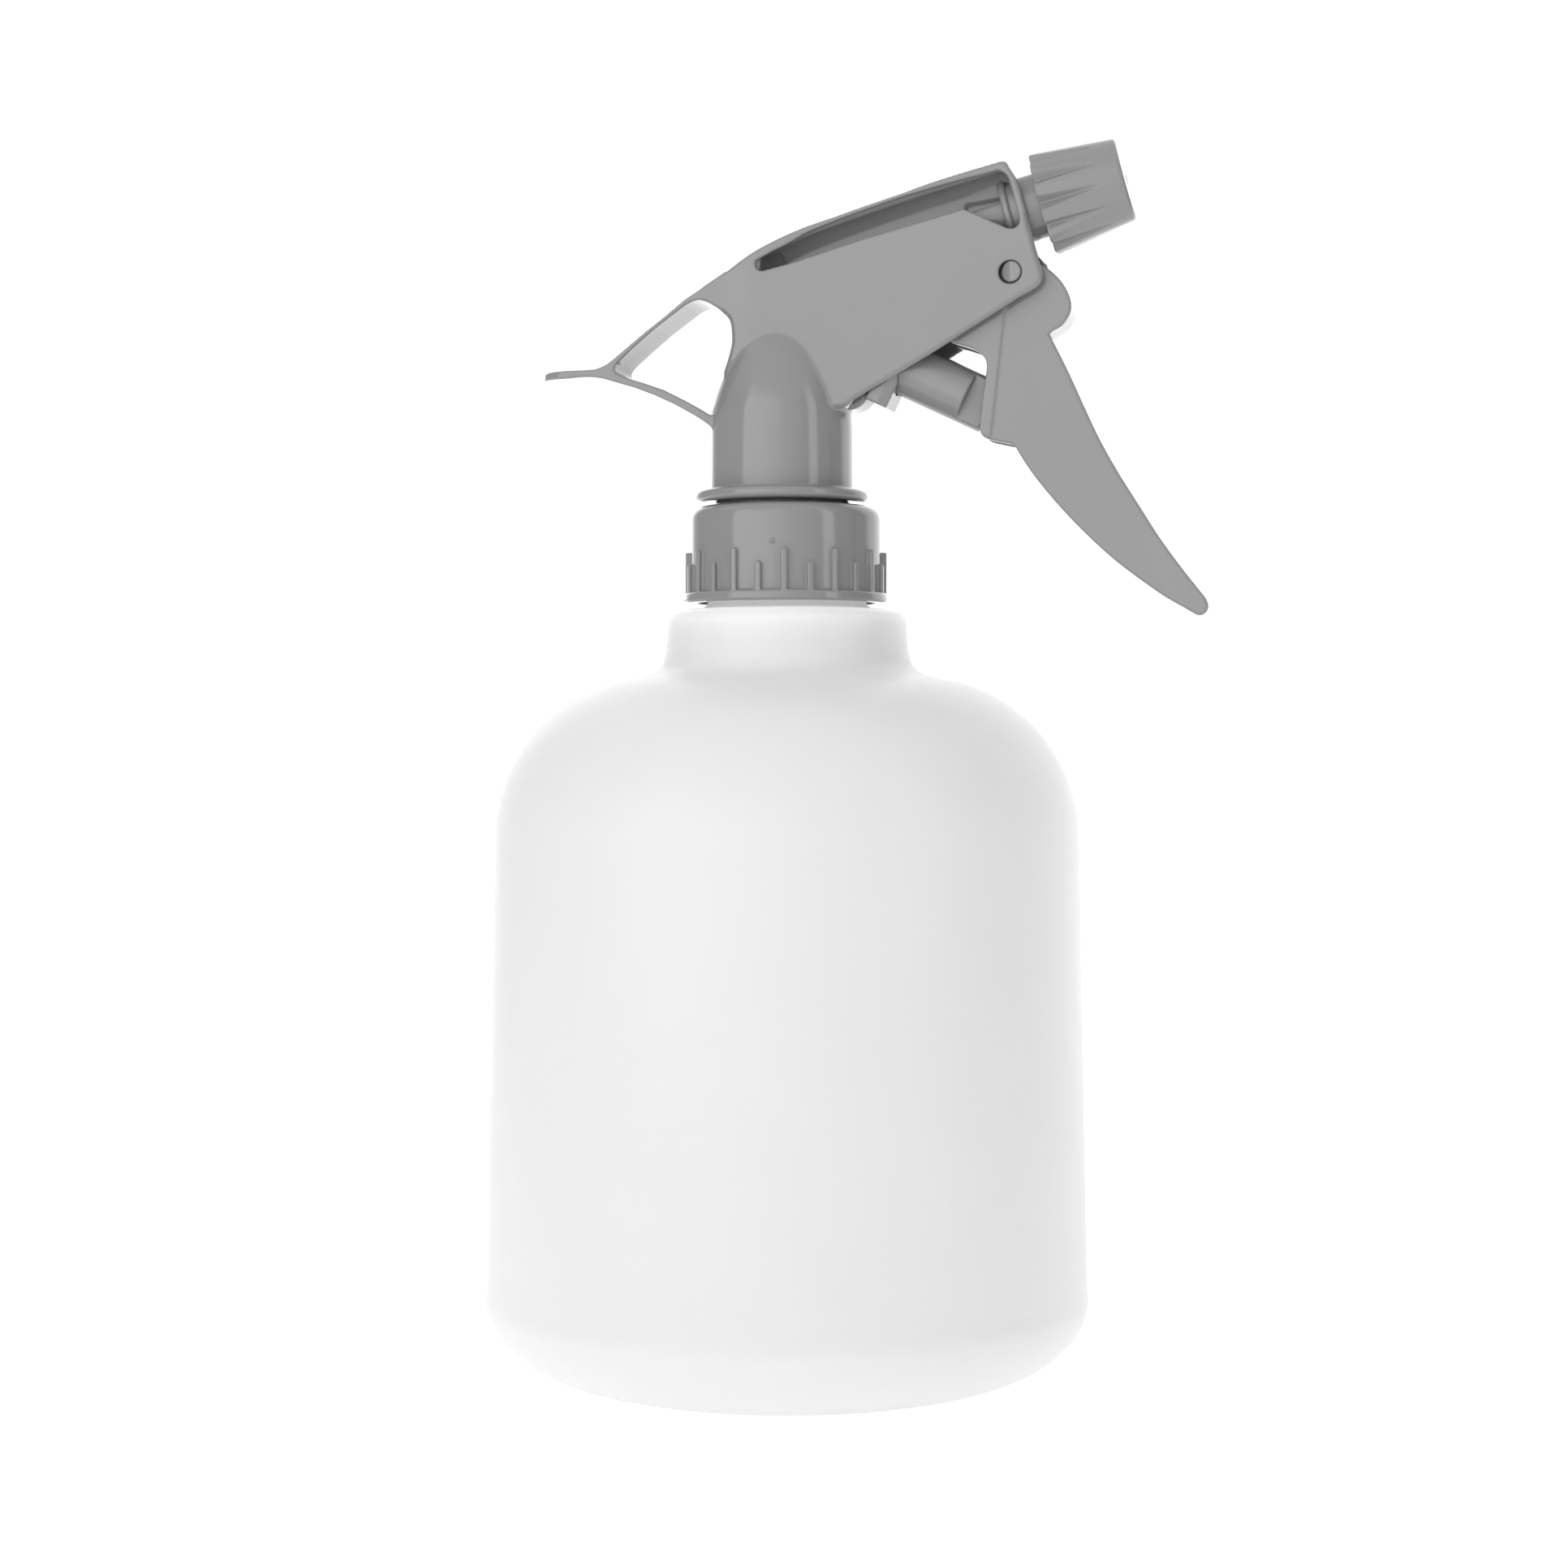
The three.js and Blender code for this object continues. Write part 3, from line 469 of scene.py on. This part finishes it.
def make_neck_thread():
    """Raised thread on the neck: a soft trapezoid swept up a helix, fading in and out."""
    turns, start = 1.25, 126.6
    section = [(-0.85, 0.0), (-0.62, 0.55), (-0.4, 0.95), (0.4, 0.95), (0.62, 0.55), (0.85, 0.0), (0, -0.6)]
    angles = np.linspace(0, 2 * np.pi * turns, 120)
    points = []
    for a in angles:
        fade = min(1, 5 * min(a, angles[-1] - a) / (2 * math.pi) + 0.05)
        for dz, dr in section:
            r = NECK_R + (dr * fade if dr > 0 else dr)
            z = start + THREAD_PITCH * a / (2 * math.pi) + dz * fade
            points.append((r * math.cos(a), r * math.sin(a), z))
    n = len(section)
    faces = [(i * n + j, i * n + (j + 1) % n, (i + 1) * n + (j + 1) % n, (i + 1) * n + j)
             for i in range(len(angles) - 1) for j in range(n)]
    thread = make_piece("neck_thread", points, faces, frosted)
    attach(thread, "bottle_body")


bottle = make_bottle()
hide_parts("bottle")
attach(bottle, "bottle_body")
make_neck_thread()


# ---- screw cap ---------------------------------------------------------------------------------

CAP_X = -0.2   # the cap stands a little behind the bottle's axis
RIB_PITCH, RIB_PHASE = math.radians(15), math.radians(11.3)


def make_cap():
    """Rounded top, bottom flange, long and short ribs in turn, and the thread inside."""
    g = Grid((-17, -17, 123.0), (17, 17, 140.2), 0.17)
    r = np.sqrt((g.x - CAP_X) ** 2 + g.y ** 2)
    angle = np.arctan2(g.y, g.x - CAP_X)
    profile = [(11.75, 138.9), (12.05, 139.2), (13.2, 139.2)]
    profile += arc(13.2, 137.1, 2.1, 2.1, 90, 0, 10)
    profile += [(15.38, 125.45), (15.5, 125.35), (16.1, 125.3), (16.4, 125.0), (16.5, 124.0), (16.2, 123.7),
                (14.3, 123.7), (14.3, 138.1), (11.75, 138.1)]
    body = turned(profile, r, g.z)
    index = np.round((angle - RIB_PHASE) / RIB_PITCH)
    across = r * np.sin(angle - RIB_PHASE - index * RIB_PITCH)
    top = np.where(index.astype(int) % 2 == 0, 131.9, 129.8)
    rib = np.sqrt(across ** 2 + np.maximum(g.z - (top - 0.5), 0) ** 2) - 0.5
    rib = both(rib, r - 16.2, 0.22)
    rib = both(rib, 14.9 - r)
    rib = both(rib, 124.6 - g.z)
    field = join(body, rib, 0.12)
    gate = np.sqrt((g.x - 0.9) ** 2 + (g.y + 15.3) ** 2 + (g.z - 132.9) ** 2) - 0.36
    field = join(field, gate, 0.3)
    helix = (g.z - 124.5 - THREAD_PITCH * angle / (2 * math.pi)) / THREAD_PITCH
    wave = np.abs(helix - np.round(helix)) * THREAD_PITCH
    thread = both(both(wave - 0.65, 13.25 - r), r - 14.6)
    thread = both(both(thread, g.z - 131.5), 125.0 - g.z)
    field = join(field, thread, 0.3)
    cap = skinned("screw_cap_shell", g, field, grey)
    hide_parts("screw_cap")
    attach(cap, "cap")


make_cap()


# ---- pump axis and nozzle axis -----------------------------------------------------------------

PUMP_AT, PUMP_TILT = (30.0, 155.9), math.radians(-25.5)
NOZZLE_AT, NOZZLE_TILT = (41.4, 186.3), math.radians(15)
PIVOT = (37.0, 174.9)

TOP_LINE = curve([(-12.4, 174.4), (-8.2, 177.0), (-5.7, 178.6), (-3.2, 180.0), (0.1, 181.55), (4.2, 183.2),
                  (8.4, 184.6), (12.5, 185.9), (20.6, 188.3), (28.7, 190.5), (35.4, 192.2)])
STEM_X = -0.85   # the stem, its ring and dome stand a little behind the bottle's axis
SHELL_HALF, TAIL_HALF = 6.5, 5.5   # half widths of the head's shell and of its tail
ROOF_WALL = 1.35                   # thickness of the roof over the slot


# ---- housing -----------------------------------------------------------------------------------

def slot_outline():
    """The open slot along both sides of the head, below the roof."""
    points = [(-3.8, 178.0)] + arc(-2.75, 177.4, 1.05, 1.0, 180, 282, 6)
    points += [(2.1, 177.5), (12.7, 180.6), (29.7, 185.0), (36.6, 181.75), (37.6, 181.7), (38.3, 182.2)]
    points += [(38.5, 183.1), (37.4, 187.4), (36.9, 189.2), (36.3, 190.2), (35.2, 190.8)]
    points += [(x, z - ROOF_WALL - 0.35 * max(0, 1 - abs(x - 1) / 8)) for x, z in TOP_LINE[22:-3]][::-1]
    return points


def make_housing():
    """Stem with its ring and dome, flat-sided shell, open slot and web, hook tail on two struts."""
    g = Grid((-41.4, -14.9, 135.4), (43.4, 14.9, 193.6), 0.26)
    side = np.abs(g.y)
    back = g.x - STEM_X
    r = np.sqrt(back ** 2 + g.y ** 2)

    stem = [(0, 136.4), (13.0, 136.4), (13.0, 137.8), (10.55, 137.8), (10.55, 139.85)]
    stem += [(13.1, 139.85)] + arc(13.05, 140.8, 0.97, 0.95, -90, 75, 10) + [(11.9, 141.8), (11.55, 142.0)]
    stem += [(11.5, 142.6)]
    stem += curve([(11.45, 151.6), (11.25, 154.8), (10.75, 157), (9.95, 159.3), (8.95, 161.8), (8.1, 163.8),
                   (6.9, 165.75), (5.4, 167.2), (3, 168.3), (0, 168.6)])
    dome = turned(stem, r, g.z)

    outline = [(-9.0, 158)]
    outline += curve([(-9.3, 160.6), (-8.5, 163.0), (-7.95, 165.0), (-7.9, 166.6), (-8.3, 168.8),
                      (-9.8, 170.4), (-11.9, 172.0), (-13.4, 172.6)])
    outline += TOP_LINE + arc(35.75, 191.3, 0.95, 0.95, 85, 15, 6)
    outline += curve([(37.9, 189.6), (38.6, 187.8), (39.4, 185.0), (40.2, 181.7), (40.95, 178.7),
                      (41.7, 176.3), (42.2, 174.5), (42.1, 173.5), (41.4, 172.5), (40.2, 171.7)])
    outline += [(38.4, 170.8), (35.0, 168.7), (24.5, 162.4), (13.2, 156.1)]
    outline += curve([(12.0, 155.4), (11.3, 154.85), (10.4, 154.4), (9.2, 154.3)]) + [(2, 154)]
    flat = drawn(g, outline)
    narrow = np.clip((-4.0 - g.x) / 7.0, 0, 1)
    half = SHELL_HALF - (SHELL_HALF - TAIL_HALF) * narrow * narrow * (3 - 2 * narrow)
    shell = both(flat, side - half, 0.3)
    upper_edge = 0.268 * g.x + 173.5
    bevel = np.where(g.z < upper_edge, chamfered(flat, side - half, 0.62),
                     chamfered(flat, side - half, 0.4))
    shell = np.maximum(shell, bevel)
    field = join(dome, shell, 0.4)

    strut_top = [(-41.2, 161.4), (-32.7, 161.5)] + curve([(-30.6, 161.6), (-29.0, 162.2), (-27.4, 163.3)])
    strut_top += [(-25.9, 164.5), (-22.5, 167.2), (-19.1, 169.7), (-15.8, 172.3), (-12.4, 174.4),
                  (-9.1, 176.4)]
    under = [(-7.0, 175.0), (-7.4, 171.2), (-9.8, 170.9), (-12.1, 172.0)]
    under += curve([(-13.4, 172.3), (-14.6, 172.0), (-15.8, 171.4)])
    under += [(-20.8, 167.8), (-24.2, 165.0)]
    under += curve([(-26.4, 163.1), (-27.3, 162.0), (-27.2, 161.0), (-26.2, 160.4)])
    under += [(-24.9, 159.9), (-22.5, 159.15), (-19.2, 158.0), (-15.8, 156.3), (-13.1, 154.8), (-11.4, 153.7),
              (-7, 153.4)]
    lower = [(-8, 150.2), (-11.1, 151.7), (-12.4, 152.7), (-14.1, 153.8), (-17.5, 155.7), (-20.8, 157.2),
             (-24.2, 158.5)]
    lower += curve([(-27.2, 159.4), (-29.6, 160.1), (-32.2, 160.4), (-36.1, 160.2)]) + [(-41.2, 160.2)]
    tail = plate(g, strut_top + under + lower, TAIL_HALF)
    plan = np.sqrt(np.maximum(-35.0 - g.x, 0) ** 2 + side ** 2) - TAIL_HALF
    tail = both(tail, np.broadcast_to(plan, tail.shape), 0.3)
    groove = drawn(g, [(-26.2, 161.2), (-20.4, 166.0), (-13.0, 171.6), (-12.5, 170.6), (-19.8, 164.6)])
    field = join(field, tail, 0.5)
    field = cut(field, both(groove - 0.45, side - 2.6), 0.15)

    ceiling = [(x + 0.5, z - 1.9) for x, z in TOP_LINE[24:]]
    cavity = [(-5.6, 150), (-5.6, 166.5), (-7.2, 170.4), (-7.6, 173), (-4, 176.2)] + ceiling
    cavity += [(36.3, 189.3), (39.9, 177.5), (45, 177.5), (45, 170), (37.5, 168), (13, 154.6)]
    cavity += [(8.6, 157), (8.6, 150)]
    hollow = plate(g, cavity, 5.7, 0.9)
    field = cut(field, hollow, 0.3)
    bore = [(0, 135), (9.6, 135), (9.6, 152.8), (7.5, 159.2), (5.4, 164), (0, 164)]
    field = cut(field, turned(bore, r, g.z), 0.2)

    slot = drawn(g, slot_outline())
    roof = [(x, z - ROOF_WALL) for x, z in TOP_LINE[18:-3]] + [(35.2, 190.8), (36.3, 190.2), (38.5, 183.1)]
    below_roof = drawn(g, roof + [(38.5, 160), (-3.6, 160)])
    web_outline = [(x, z + 1.0) for x, z in roof] + [(38.5, 176), (10, 174), (-5.5, 174)]
    web = both(drawn(g, web_outline), side - 5.9)
    triangle = drawn(g, [(29.3, 186.4), (34.6, 187.2), (37.4, 187.6), (39, 181), (36.6, 180), (29, 184)])
    field = join(field, web)
    recess = np.minimum(triangle, g.x + 0.55 * (g.z - 179) + 0.4)
    face = 1.3 - 0.55 * np.clip(0.5 - recess / 0.5, 0, 1)
    field = cut(field, np.maximum(both(below_roof, face - side, 2.5), side - 5.75))
    softness = 0.3 + 1.9 * np.clip((g.z - 0.26 * g.x - 179.6) / 2.5, 0, 1) * np.clip((36.5 - g.x) / 16, 0, 1)
    field = cut(field, both(slot, 5.6 - side), softness)

    t, _, radius = along(g, NOZZLE_AT, NOZZLE_TILT)
    field = cut(field, both(both(radius - 4.95, -6.0 - t), t - 3.0), 0.15)
    pin = np.sqrt((g.x - PIVOT[0]) ** 2 + (g.z - PIVOT[1]) ** 2)
    field = cut(field, np.broadcast_to(pin - 1.8, field.shape), 0.15)
    housing = skinned("head_housing", g, field, grey)
    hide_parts("housing")
    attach(housing, "head")


make_housing()


# ---- pump body ---------------------------------------------------------------------------------

def make_pump_body():
    """Moulding inside the head: web, feed tube, pump cylinder, discharge tube and front lug."""
    g = Grid((-8.2, -7.4, 140.2), (41.5, 7.4, 191.2), 0.3)
    side = np.abs(g.y)
    web_outline = [(-4.9, 160), (-4.9, 166.6), (-6.6, 170.6), (-6.6, 173.2), (-4.4, 175.8), (-0.4, 178.6)]
    web_outline += [(x + 0.7, z - 2.1) for x, z in TOP_LINE[26:-10]]
    web_outline += [(31.4, 187.2), (32.0, 181), (24, 178.6), (19.5, 167), (14, 160)]
    field = plate(g, web_outline, 1.0, 0.2)
    upright = turned([(0, 141), (6.6, 141), (6.6, 147.6), (4.2, 148.4), (4.2, 174.4), (3, 176.3), (0, 176.8)],
                     np.sqrt(g.x ** 2 + g.y ** 2), g.z)
    s, _, rod = along(g, PUMP_AT, PUMP_TILT)
    barrel = both(both(rod - 5.2, -28.2 - s), s + 13.2, 0.4)
    neck = both(both(rod - 4.2, -33.6 - s), s + 26.6)
    t, _, tube = along(g, NOZZLE_AT, NOZZLE_TILT)
    discharge = both(both(tube - 3.4, -42 - t), t + 12, 0.3)
    valve = both(both(tube - 3.9, -18 - t), t + 2.6, 0.3)
    lug = both(np.sqrt((g.x - 10.9) ** 2 + (g.z - 157.4) ** 2) - 3.05, side - 3.4, 0.5)
    lug = join(lug, both(np.sqrt((g.x - 9.3) ** 2 + (g.z - 157.4) ** 2) - 2.9, side - 3.4, 0.5), 0.5)
    for part in (upright, barrel, neck, discharge, valve, lug):
        field = join(field, np.broadcast_to(part, field.shape), 0.8)
    field = cut(field, both(both(rod - 4.45, -26.6 - s), s + 12.2), 0.2)
    field = cut(field, np.broadcast_to(both(np.sqrt(g.x ** 2 + g.y ** 2) - 5.4, g.z - 145.4), field.shape))
    above_slot = 176.7 + 0.2717 * g.x - g.z
    field = cut(field, both(np.maximum(above_slot, -1.0 - g.x), 0.4 - side), 0.1)
    body = skinned("pump_body_moulding", g, field, grey_inner)
    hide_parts("pump_body")
    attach(body, "head")


make_pump_body()


def make_retainer():
    """Bevelled block at the mouth of the pump cylinder."""
    g = Grid((13.0, -6.4, 152.5), (25.5, 6.4, 169.0), 0.2)
    s, w, rod = along(g, PUMP_AT, PUMP_TILT)
    side = np.abs(g.y)
    block = both(np.maximum(w - 5.0, -7.05 - w), side - 5.2, 0.5)
    block = both(both(block, -14.7 - s, 0.3), s + 11.2, 0.25)
    block = both(block, (side - 5.2 + s + 11.2 + 1.3) * ROOT_HALF, 0.15)
    field = cut(block, rod - 4.4, 0.2)
    piece = skinned("cylinder_mouth_ring", g, field, grey_inner)
    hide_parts("cylinder_retainer")
    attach(piece, "head")


make_retainer()


def make_piston():
    """Round rod with a flat-sided tip, a blind bore at its back and a groove for the seal."""
    g = Grid((11.5, -5.2, 149.6), (36.2, 5.2, 168.6), 0.2)
    s, _, rod = along(g, PUMP_AT, PUMP_TILT)
    side = np.abs(g.y)
    body = both(both(rod - 4.3, -17.2 - s), s - 3.4, 0.35)
    field = cut(body, np.maximum(2.2 - side, -0.5 - s), 0.15)
    field = cut(field, both(rod - 2.5, s + 3.0), 0.2)
    groove = both(both(3.3 - rod, -17.6 - s), s + 15.3)
    field = cut(field, groove, 0.1)
    piece = skinned("piston_rod", g, field, grey_inner)
    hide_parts("piston")
    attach(piece, "plunger")


make_piston()


# ---- trigger -----------------------------------------------------------------------------------

def make_trigger():
    """Curved lever, hollow from behind, with a front lobe, rear arms, cheek ribs and pivot pins."""
    g = Grid((23.2, -7.2, 120.2), (68.6, 7.2, 179.4), 0.24)
    side = np.abs(g.y)
    lobe = curve([(39.9, 176.8), (42.5, 175.7), (44.8, 173.5), (46.1, 171.0), (46.2, 168.8), (45.0, 166.8),
                  (43.3, 165.8)])
    front = curve([(42.9, 165.4), (45.8, 159.6), (48.75, 153.1), (50.9, 148.6), (53.7, 143.6), (56.9, 138.5),
                   (60.2, 133.3), (63.6, 128.6), (67.3, 123.9)])
    tip = arc(66.4, 122.6, 1.35, 1.5, 35, -110, 7)
    back = curve([(64.4, 122.1), (61.3, 123.9), (58.1, 126.1), (53.5, 129.6), (49.3, 133.4), (45.3, 137.5),
                  (41.7, 141.7), (39.2, 145.1), (37.3, 148.2)])
    heel = curve([(36.8, 148.3), (33.7, 149.0), (32.7, 149.4), (32.1, 150.0)])
    rear = curve([(31.85, 151.0), (32.3, 155.3), (32.8, 158.6), (33.0, 160.5), (32.9, 161.4), (32.4, 162.3),
                  (31.2, 163.2), (29.3, 163.9), (28.2, 164.2), (27.3, 164.5)])
    arm = curve([(26.8, 165.1), (27.4, 167.0), (29.2, 168.6), (31.2, 170.2), (33.4, 174.9)])
    head = arc(PIVOT[0], PIVOT[1], 3.6, 3.6, 170, 55, 8)
    outline = lobe + front + tip + back + heel + rear + arm + head
    flat = drawn(g, outline)
    body = both(flat, side - 3.9, 0.45)
    rib_line = [(30, 149.4), (33.7, 149.4), (34.4, 155.2), (35.3, 163.5), (36.2, 172), (20, 172), (20, 160)]
    rib = both(both(flat, drawn(g, rib_line)), side - 4.15, 0.3)
    body = join(body, rib, 0.15)
    pocket = [(20, 149), (20, 166.4), (32, 168), (35, 166.7), (40.6, 166), (46.6, 152), (51.8, 142.6),
              (58.2, 132.4), (62.2, 126.2), (56, 122)]
    hollow = both(drawn(g, pocket), side - 2.5, 0.5)
    field = cut(body, hollow, 0.3)
    pin = np.sqrt((g.x - PIVOT[0] - 0.12) ** 2 + (g.z - PIVOT[1] - 0.06) ** 2)
    slant = side - 6.75 + 0.8 * np.maximum(PIVOT[0] - g.x + 0.05, 0)
    field = join(field, both(pin - 1.63, slant, 0.12), 0.2)
    piece = skinned("trigger_lever", g, field, grey)
    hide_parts("trigger")
    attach(piece, "trigger_lever")


make_trigger()


# ---- nozzle ------------------------------------------------------------------------------------

def make_nozzle_tube():
    """Stepped tube with a coarse thread for the nozzle cap."""
    g = Grid((31.0, -6.6, 178.2), (53.0, 6.6, 195.2), 0.2)
    t, w, r = along(g, NOZZLE_AT, NOZZLE_TILT)
    profile = [(0, -6.1), (4.6, -6.1), (5.0, -6.0), (5.3, -5.65), (5.35, -5.3), (5.2, -4.95), (4.85, -4.8),
               (4.85, -3.4), (5.2, -3.2), (5.2, 0.6), (4.95, 0.8), (4.95, 6.6), (4.7, 6.8), (4.7, 9),
               (4.4, 9.2), (0, 9.2)]
    field = turned(profile, r, t)
    angle = np.arctan2(g.y, w)
    helix = (t - 3.0 - 2.0 * angle / (2 * math.pi)) / 2.0
    wave = np.abs(helix - np.round(helix)) * 2.0
    ridge = both(both(both(wave - 0.32, r - 5.9), 2.2 - t), t - 6.2)
    field = join(field, ridge, 0.3)
    field = cut(field, both(both(r - 2.9, 0.5 - t), t - 10), 0.2)
    field = cut(field, both(r - 4.2, t + 2.2), 0.2)
    piece = skinned("nozzle_stem", g, field, grey)
    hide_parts("nozzle_tube")
    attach(piece, "head")


make_nozzle_tube()


def make_nozzle_cap():
    """Tapered cap with twelve flutes that run out toward its front."""
    g = Grid((38.2, -8.9, 177.8), (57.2, 8.9, 197.2), 0.17)
    t, w, r = along(g, NOZZLE_AT, NOZZLE_TILT)
    length, rear, front = 13.6, 8.2, 6.6
    angle = np.arctan2(g.y, w) + math.radians(9)
    pitch = 2 * math.pi / 12
    local = angle - np.round(angle / pitch) * pitch
    taper = rear + (front - rear) * t / length
    fade = np.clip(1 - t / 10.6, 0, 1)
    reach = math.radians(9.0) * fade ** 0.7 + 1e-3
    groove = 1.45 * fade * np.clip(1 - np.abs(local / reach) ** 1.3, 0, 1)
    skin_r = (r - taper + groove) * 0.93
    field = both(skin_r, t - length, 0.65)
    field = both(field, -t, 0.25)
    inside = [(0, -2), (6.35, -2), (6.35, 7.4), (5.3, 8), (5.3, 11.3), (0.5, 11.3), (0.5, 12.6), (1.5, 14.6),
              (0, 14.6)]
    field = cut(field, turned(inside, r, t), 0.2)
    piece = skinned("nozzle_cap_fluted", g, field, grey)
    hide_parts("nozzle_cap")
    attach(piece, "nozzle")


make_nozzle_cap()


# ---- floor, light and camera -------------------------------------------------------------------

FLOOR_R = 0.5   # metres


def make_floor():
    """A pale disc that glows a little, so that it stays white right under the bottle."""
    material, tree, shader, where = blank_material("studio_floor")
    drifting_colour(tree, shader, noise(tree, where, 4.0), (0.68, 0.68, 0.68), (0.72, 0.72, 0.72))
    shader.inputs["Emission Color"].default_value = (1, 1, 1, 1)
    shader.inputs["Emission Strength"].default_value = 0.6
    shader.inputs["Roughness"].default_value = 0.9
    shader.inputs["Specular IOR Level"].default_value = 0.1
    mesh = bpy.data.meshes.new("floor")
    edge = [(x, y, 0) for x, y in arc(0, 0, FLOOR_R, FLOOR_R, 0, 354, 59)]
    mesh.from_pydata(edge, [], [tuple(range(len(edge)))])
    mesh.materials.append(material)
    floor = bpy.data.objects.new("floor", mesh)
    bpy.context.scene.collection.objects.link(floor)


make_floor()

# Brightness of the light round the object: 0 degrees is the camera's side, 90 is to its right.
STUDIO_RING = [(-180, 2.0), (-158, 2.0), (-145, 0.8), (-135, 0.4), (-68, 0.4), (-64, 2.8), (-25, 2.3),
               (10, 1.0), (45, 0.4), (48, 2.5), (60, 2.5), (63, 0.3), (112, 0.3), (120, 1.5), (150, 1.8),
               (180, 2.0)]
TOP_LIGHT = 1.1
FULL_LIGHT = 4.0   # the ring's brightness where its colour ramp is 1
BACKDROP = 1.02    # what the camera sees behind the object
STUDIO_TURN = math.radians(-12.4)   # turns the ring with the camera


def opaque(tone):
    return (tone, tone, tone, 1)


def make_studio():
    """Soft light by direction: a broad box front left, a narrow strip front right, a wall behind."""
    world = bpy.data.worlds.new("studio")
    bpy.context.scene.world = world
    world.use_nodes = True
    tree = world.node_tree
    nodes, links = tree.nodes, tree.links
    backdrop = nodes["Background"]
    backdrop.inputs["Color"].default_value = (1, 1, 1, 1)
    backdrop.inputs["Strength"].default_value = BACKDROP
    where = nodes.new("ShaderNodeTexCoord")
    level = nodes.new("ShaderNodeMapping")
    level.vector_type = "POINT"
    level.inputs["Rotation"].default_value = (0, 0, STUDIO_TURN)
    links.new(where.outputs["Generated"], level.inputs["Vector"])
    parts = nodes.new("ShaderNodeSeparateXYZ")
    links.new(level.outputs["Vector"], parts.inputs["Vector"])
    ahead = nodes.new("ShaderNodeMath")
    ahead.operation = "MULTIPLY"
    ahead.inputs[1].default_value = -1.0
    links.new(parts.outputs["Y"], ahead.inputs[0])
    azimuth = nodes.new("ShaderNodeMath")
    azimuth.operation = "ARCTAN2"
    links.new(parts.outputs["X"], azimuth.inputs[0])
    links.new(ahead.outputs["Value"], azimuth.inputs[1])
    share = map_range(tree, azimuth.outputs["Value"], (-math.pi, math.pi), (0, 1))
    ramp = nodes.new("ShaderNodeValToRGB")
    elements = ramp.color_ramp.elements
    while len(elements) < len(STUDIO_RING):
        elements.new(0.5)
    for element, (degrees, _) in zip(elements, STUDIO_RING):
        element.position = (degrees + 180) / 360
    for element, (_, brightness) in zip(elements, STUDIO_RING):
        element.color = opaque(brightness / FULL_LIGHT)
    links.new(share.outputs["Result"], ramp.inputs["Fac"])
    height = map_range(tree, parts.outputs["Z"], (0.45, 0.75), (0, 1))
    height.interpolation_type = "SMOOTHSTEP"
    blend = nodes.new("ShaderNodeMix")
    blend.data_type = "RGBA"
    blend.inputs["B"].default_value = opaque(TOP_LIGHT / FULL_LIGHT)
    links.new(height.outputs["Result"], blend.inputs["Factor"])
    links.new(ramp.outputs["Color"], blend.inputs["A"])
    studio = nodes.new("ShaderNodeBackground")
    studio.inputs["Strength"].default_value = FULL_LIGHT
    links.new(blend.outputs["Result"], studio.inputs["Color"])
    rays = nodes.new("ShaderNodeLightPath")
    choose = nodes.new("ShaderNodeMixShader")
    links.new(rays.outputs["Is Camera Ray"], choose.inputs["Fac"])
    links.new(studio.outputs["Background"], choose.inputs[1])
    links.new(backdrop.outputs["Background"], choose.inputs[2])
    links.new(choose.outputs["Shader"], nodes["World Output"].inputs["Surface"])


make_studio()
bpy.context.scene.view_settings.view_transform = "Standard"

SENSOR, LENS = 36.0, 36.0 * 3656.0 / 1932.0   # millimetres
CAMERA_AT = (103.198, -467.917, 103.8)
camera_data = bpy.data.cameras.new("camera")
camera_data.sensor_width = SENSOR
camera_data.lens = LENS
camera_data.clip_start = 0.01
turn, pitch = math.radians(12.5), math.radians(-1.1)
right = Vector((math.cos(turn), math.sin(turn), 0))
forward = Vector((-math.sin(turn) * math.cos(pitch), math.cos(turn) * math.cos(pitch), math.sin(pitch)))
up = right.cross(forward)
place = Vector(CAMERA_AT) * MM
camera = bpy.data.objects.new("camera", camera_data)
camera.matrix_world = Matrix.Translation(place) @ Matrix((right, up, -forward)).transposed().to_4x4()
bpy.context.scene.collection.objects.link(camera)
bpy.context.scene.camera = camera
